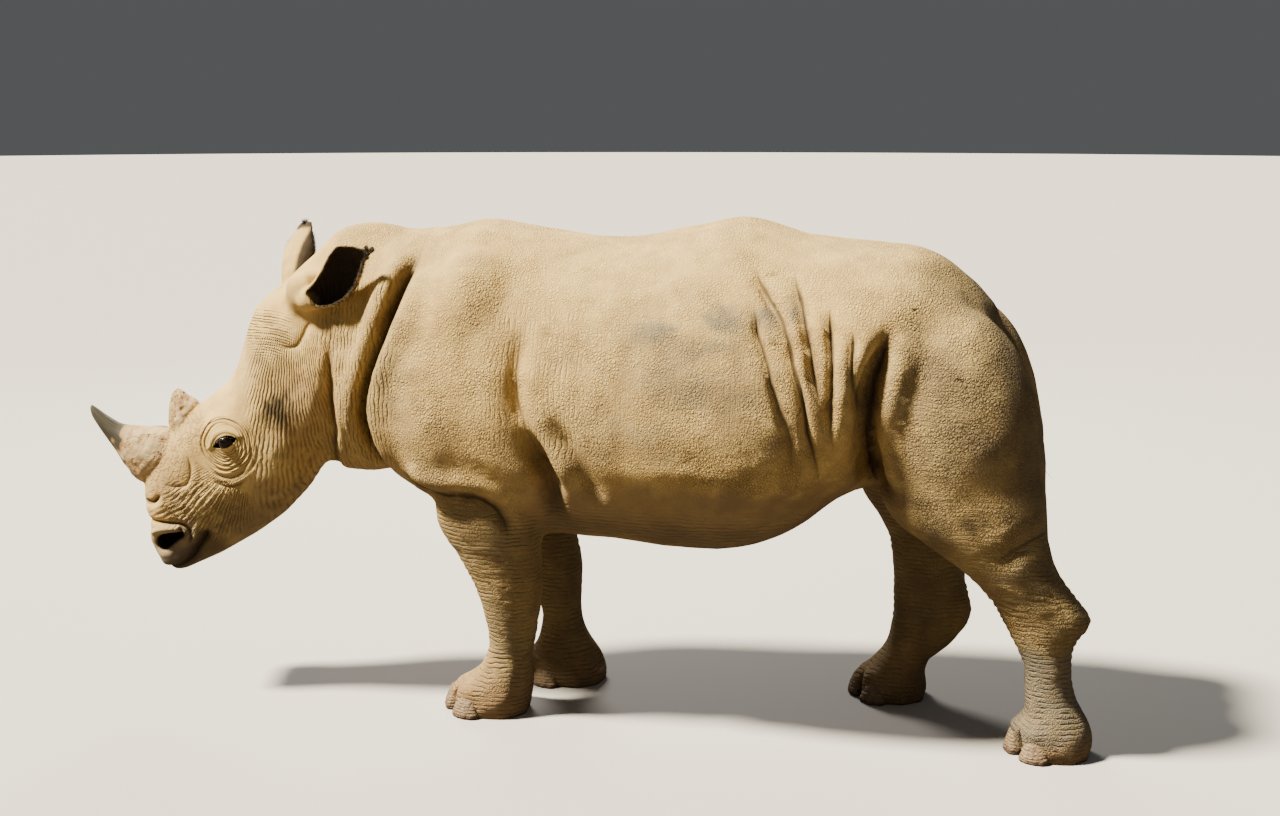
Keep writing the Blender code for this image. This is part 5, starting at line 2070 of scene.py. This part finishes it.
@dataclass
class Tufts:
    """Tapered hairs in one mesh, each with a small patch of the UV map at its root's place."""

    name: str
    roots: Array
    ways: Array
    bends: Array
    lengths: Array
    thickness: float
    charts: Array
    patch: float = 0.003

    def build(self) -> bpy.types.Object:
        """Makes every hair as a bent three-sided spike.

        Returns:
            The piece.
        """
        count = len(self.roots)
        side = unit(np.cross(self.ways, np.array([0.31, 0.52, 0.79])))
        other = np.cross(self.ways, side)
        rings = []
        for share, slim in HAIR_RINGS:
            middle = self.roots + self.ways * (self.lengths * share)[:, None]
            middle = middle + self.bends * (self.lengths * share ** 2)[:, None]
            for turn in HAIR_TURNS:
                edge = side * math.cos(turn) + other * math.sin(turn)
                rings.append(middle + edge * self.thickness * slim)
        rings.append(self.roots + (self.ways + self.bends) * self.lengths[:, None])
        faces = [(2, 1, 0)]
        for ring in (0, 3):
            for a, b in ((0, 1), (1, 2), (2, 0)):
                faces.append((ring + a, ring + b, ring + 3 + b, ring + 3 + a))
        faces += [(6, 7, 9), (7, 8, 9), (8, 6, 9)]
        every = []
        for first in range(0, count * len(rings), len(rings)):
            every += [tuple(first + corner for corner in face) for face in faces]
        mesh = bpy.data.meshes.new(self.name)
        mesh.from_pydata(np.stack(rings, axis=1).reshape(-1, 3).tolist(), [], every)
        self.unwrap(mesh, len(rings))
        made = bpy.data.objects.new(self.name, mesh)
        bpy.context.scene.collection.objects.link(made)
        with editing(made):
            bpy.ops.mesh.select_all(action="SELECT")
            bpy.ops.mesh.normals_make_consistent(inside=False)
        mesh.shade_smooth()
        mesh.materials.append(HairFinish().shared())
        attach(made, "root")
        return made

    def unwrap(self, mesh: bpy.types.Mesh, points: int) -> None:
        """Gives each hair, of so many points, its patch of the UV map.

        Args:
            mesh: the hairs' mesh.
            points: how many points a hair has.
        """
        layer = mesh.uv_layers.new(name="OFBake")
        across = np.tile([0, 1, 0.5] * len(HAIR_RINGS) + [0.5], len(self.roots))
        up = np.tile([share for share, _ in HAIR_RINGS for _ in HAIR_TURNS] + [1.0], len(self.roots))
        corners = np.empty(len(mesh.loops), np.int32)
        mesh.loops.foreach_get("vertex_index", corners)
        spots = np.repeat(self.charts, points, axis=0) + np.column_stack([across, up]) * self.patch
        layer.data.foreach_set("uv", spots[corners].astype(np.float32).ravel())


@dataclass
class Coat:
    """The few hairs of a grown rhinoceros: ear fringes, lashes and the tail's tassel."""

    hide: Hide
    seed: int = 7
    fringe: int = 3200  # hairs on each ear
    lashes: int = 46
    tassel: int = 340

    def build(self) -> list[bpy.types.Object]:
        """Makes every tufted piece.

        Returns:
            The piece.
        """
        chance = np.random.default_rng(self.seed)
        mesh = self.hide.made.data
        places, normals = places_of(mesh), normals_of(mesh)
        made = [self.ear(side, places, normals, chance) for side, _ in SIDES]
        made += [self.lid(side, sign, chance) for side, sign in SIDES]
        made.append(self.tail(places, normals, chance))
        return made

    def ear(self, side: str, places: Array, normals: Array,
            chance: np.random.Generator) -> bpy.types.Object:
        """Short dark hairs along an ear's rim, longest at its tip.

        Args:
            side: the ear's side.
            places: the skin's points.
            normals: the skin's normals there.
            chance: where random values come from.

        Returns:
            The fringe. The nearer ear has it only on its lower rim and its tip, and shorter.
        """
        funnel = EAR_FUNNELS[side]
        axes = np.array(funnel.axes())
        local = funnel.local(places - self.hide.neck.shift)
        facing = normals @ axes.T
        share = local[:, 2] / funnel.length
        far = side == "right"
        rim = (facing[:, 0] > (-0.30 if far else 0.15)) & (funnel.span(local) > 0.82)
        rim |= (facing[:, 2] > 0.35) & (share > 0.9)
        rim &= (share > 0.22) & (share < 1.06) & (funnel.span(local) < 1.35)
        rim &= far | (local[:, 1] > 0.0) | (share > 0.93)
        weight = rim * (0.25 + share ** 2)
        picked = chance.choice(len(places), self.fringe, p=weight / weight.sum())
        spread = local[picked] * np.array([0.0, 1.0, 0.0])
        spread /= np.abs(spread[:, 1:2]) + 0.01
        ways = spread @ axes * (1.35 - share[picked])[:, None] + axes[2] * share[picked][:, None]
        stray = 0.4 * normals[picked] - 0.45 * axes[0] + chance.normal(0, 0.22, (self.fringe, 3))
        ways = unit(ways + stray)
        bends = chance.normal(0, 0.12, (self.fringe, 3))
        tip = np.interp(share[picked], (0.0, 0.6, 0.9, 1.0), (0.4, 1.0, 1.5, 1.6))
        slide = chance.normal(0, 0.0035, (self.fringe, 3))
        slide -= normals[picked] * (slide * normals[picked]).sum(axis=1)[:, None]
        lengths = chance.uniform(0.006, 0.013, self.fringe) * tip * (1.0 if far else 0.45)
        charts = np.column_stack([0.25 + 0.2 * np.sign(local[picked, 1]) + 0.5 * far,
                                  0.45 + 0.45 * share[picked]])
        roots = places[picked] + slide - 0.0015 * normals[picked]
        return Tufts(f"ear_fringe_{side}", roots, ways, bends, lengths, 0.00045, charts).build()

    def lid(self, side: str, sign: float, chance: np.random.Generator) -> bpy.types.Object:
        """Lashes of the upper lid.

        Args:
            side: the eye's side.
            sign: the way out, 1 towards +Y.
            chance: where random values come from.

        Returns:
            The lashes.
        """
        span = np.linspace(-0.72, 0.86, self.lashes) + chance.normal(0, 0.01, self.lashes)
        u = span * np.where(span < 0, EYE_OPENING.front, EYE_OPENING.rear)
        v = EYE_OPENING.upper * (1 - span * span) + 0.0015
        along = EYE_OPENING.along
        away = np.hypot(u, v)
        dome = EYE_PLACE[1] + np.sqrt(np.clip(EYE_OPENING.ball ** 2 - away ** 2, 0.00005, None))
        straight = np.column_stack([EYE_PLACE[0] + u * along[0] - v * along[1], sign * (dome + 0.002),
                                    EYE_PLACE[2] + u * along[1] + v * along[0]])
        roots = self.hide.neck.turned(straight)
        ahead = self.hide.neck.turned(straight + np.array([0.0, sign * 0.01, -0.002])) - roots
        ways = unit(unit(ahead) + chance.normal(0, 0.14, (self.lashes, 3)))
        bends = np.tile(np.array([0.0, 0.0, -0.45]), (self.lashes, 1))
        lengths = chance.uniform(0.009, 0.015, self.lashes)
        charts = np.column_stack([0.1 + 0.35 * (span + 1) / 2 + 0.5 * (side == "right"),
                                  np.full(self.lashes, 0.05)])
        return Tufts(f"lashes_{side}", roots, ways, bends, lengths, 0.00055, charts).build()

    def tail(self, places: Array, normals: Array, chance: np.random.Generator) -> bpy.types.Object:
        """The tassel of stiff bristles on both edges of the tail's end.

        Args:
            places: the skin's points.
            normals: the skin's normals there.
            chance: where random values come from.

        Returns:
            The tassel.
        """
        low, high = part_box("tail")
        share = (places[:, 2] - low.z) / (high.z - low.z)
        here = (places[:, 0] > low.x) & (np.abs(places[:, 1] - (low.y + high.y) / 2) < 0.045)
        here &= (share > -0.02) & (share < 0.36) & (places[:, 0] > high.x - 0.10)
        picked = chance.choice(np.flatnonzero(here), self.tassel)
        out = normals[picked]
        ways = unit(0.55 * out + np.array([0.0, 0.0, -1.0]) + chance.normal(0, 0.16, (self.tassel, 3)))
        bends = chance.normal(0, 0.10, (self.tassel, 3)) + np.array([0, 0, -0.15])
        lengths = chance.uniform(0.05, 0.11, self.tassel)
        turn = np.arctan2(out[:, 1], out[:, 0]) / (2 * math.pi) + 0.5
        charts = np.column_stack([0.05 + 0.9 * turn, 0.15 + 0.3 * share[picked]])
        roots = places[picked] - out * 0.001
        return Tufts("tail_tassel", roots, ways, bends, lengths, 0.0012, charts).build()


# ---- studio ----

@dataclass
class Studio:
    """The camera, a soft studio's lights and the pale floor."""

    eye_height: float = 2.06
    stand: Point = (1.3863, -5.7781)
    heading: float = math.radians(11.63)  # turned left from straight across
    tilt: float = math.radians(9.96)  # down from level
    lens: float = 50.1  # on a 36 mm sensor

    def build(self) -> None:
        """Places everything."""
        self.camera()
        self.floor()
        sun = self.light("key", "SUN", (-5.0, -1.9, 7.2), 16.6, (1.0, 0.90, 0.71), (0.0, 0.0, 0.0))
        sun.angle = math.radians(9.0)
        self.lamp("fill", (5.5, -5.0, 2.6), 4.5, 11.0, (0.97, 0.98, 1.0))
        self.lamp("rim", (-2.0, 5.2, 4.6), 2.2, 300.0, (1.0, 0.95, 0.88))
        world = bpy.data.worlds.new("studio")
        world.use_nodes = True
        ground = world.node_tree.nodes["Background"]
        ground.inputs["Color"].default_value = (0.93, 0.97, 1.0, 1.0)
        ground.inputs["Strength"].default_value = 0.10
        bpy.context.scene.world = world

    def camera(self) -> None:
        """Sets the camera at eye height beside the animal."""
        data = bpy.data.cameras.new("camera")
        data.lens = self.lens
        data.sensor_width = 36.0
        made = bpy.data.objects.new("camera", data)
        made.location = (*self.stand, self.eye_height)
        made.rotation_euler = (math.pi / 2 - self.tilt, 0.0, self.heading)
        bpy.context.scene.collection.objects.link(made)
        bpy.context.scene.camera = made

    def floor(self) -> None:
        """A wide plain floor just under the soles."""
        bpy.ops.mesh.primitive_circle_add(vertices=96, radius=60.0, fill_type="NGON",
                                          location=(0, 0, -0.0005))
        made = bpy.context.active_object
        made.name = "floor"
        bpy.ops.object.transform_apply(location=True, rotation=True, scale=True)
        made.data.materials.append(FloorFinish().material())

    def light(self, name: str, kind: str, place: Place, power: float, colour: Colour,
              aim: Place) -> bpy.types.Light:
        """Places a light.

        Args:
            name: its name.
            kind: its type.
            place: where it stands.
            power: its energy.
            colour: its colour.
            aim: the place that it looks at.

        Returns:
            Its data.
        """
        data = bpy.data.lights.new(name, kind)
        data.energy = power
        data.color = colour
        made = bpy.data.objects.new(name, data)
        made.location = place
        made.rotation_euler = (Vector(place) - Vector(aim)).to_track_quat("Z", "Y").to_euler()
        bpy.context.scene.collection.objects.link(made)
        return data

    def lamp(self, name: str, place: Place, size: float, power: float, colour: Colour) -> None:
        """A soft round lamp that looks at the animal's middle.

        Args:
            name: its name.
            place: where it stands.
            size: its diameter.
            power: its energy.
            colour: its colour.
        """
        data = self.light(name, "AREA", place, power, colour, (0.0, 0.0, 0.8))
        data.shape = "DISK"
        data.size = size


FRONT_HORN = (
    ((-1.985, 0.905), (-2.065, 0.712), 0.086), ((-2.030, 0.925), (-2.128, 0.738), 0.083),
    ((-2.085, 0.925), (-2.172, 0.796), 0.067), ((-2.135, 0.930), (-2.196, 0.832), 0.050),
    ((-2.180, 0.938), (-2.220, 0.868), 0.037), ((-2.230, 0.968), (-2.255, 0.922), 0.025),
    ((-2.260, 0.991), (-2.278, 0.962), 0.015), ((-2.276, 1.002), (-2.285, 0.986), 0.008),
    ((-2.281, 1.004), (-2.285, 0.996), 0.004),
)
REAR_HORN = (
    ((-1.895, 0.985), (-1.990, 0.885), 0.060), ((-1.912, 1.012), (-2.012, 0.928), 0.058),
    ((-1.945, 1.035), (-2.012, 0.972), 0.045), ((-1.968, 1.052), (-2.008, 1.016), 0.029),
    ((-1.985, 1.059), (-2.000, 1.045), 0.010),
)


def main() -> None:
    """Builds every piece in order, and reports it."""
    neck = NeckTurn()
    Studio().build()
    hide = Hide(neck)
    pieces = [hide.build()]
    pieces.append(Horn("front_horn", "horn_front", neck, FRONT_HORN, 0.46, 0.0026).build())
    pieces.append(Horn("rear_horn", "horn_rear", neck, REAR_HORN, 1.10, 0.0034, rows=80).build())
    pieces += [Eyeball(side, neck).build() for side, _ in SIDES]
    pieces += [Toenail(node).build() for node in NAILS]
    pieces += Coat(hide).build()
    for piece in pieces:
        LOG.info("%s: %d faces", piece.name, len(piece.data.polygons))


if __name__ == "__main__":
    main()
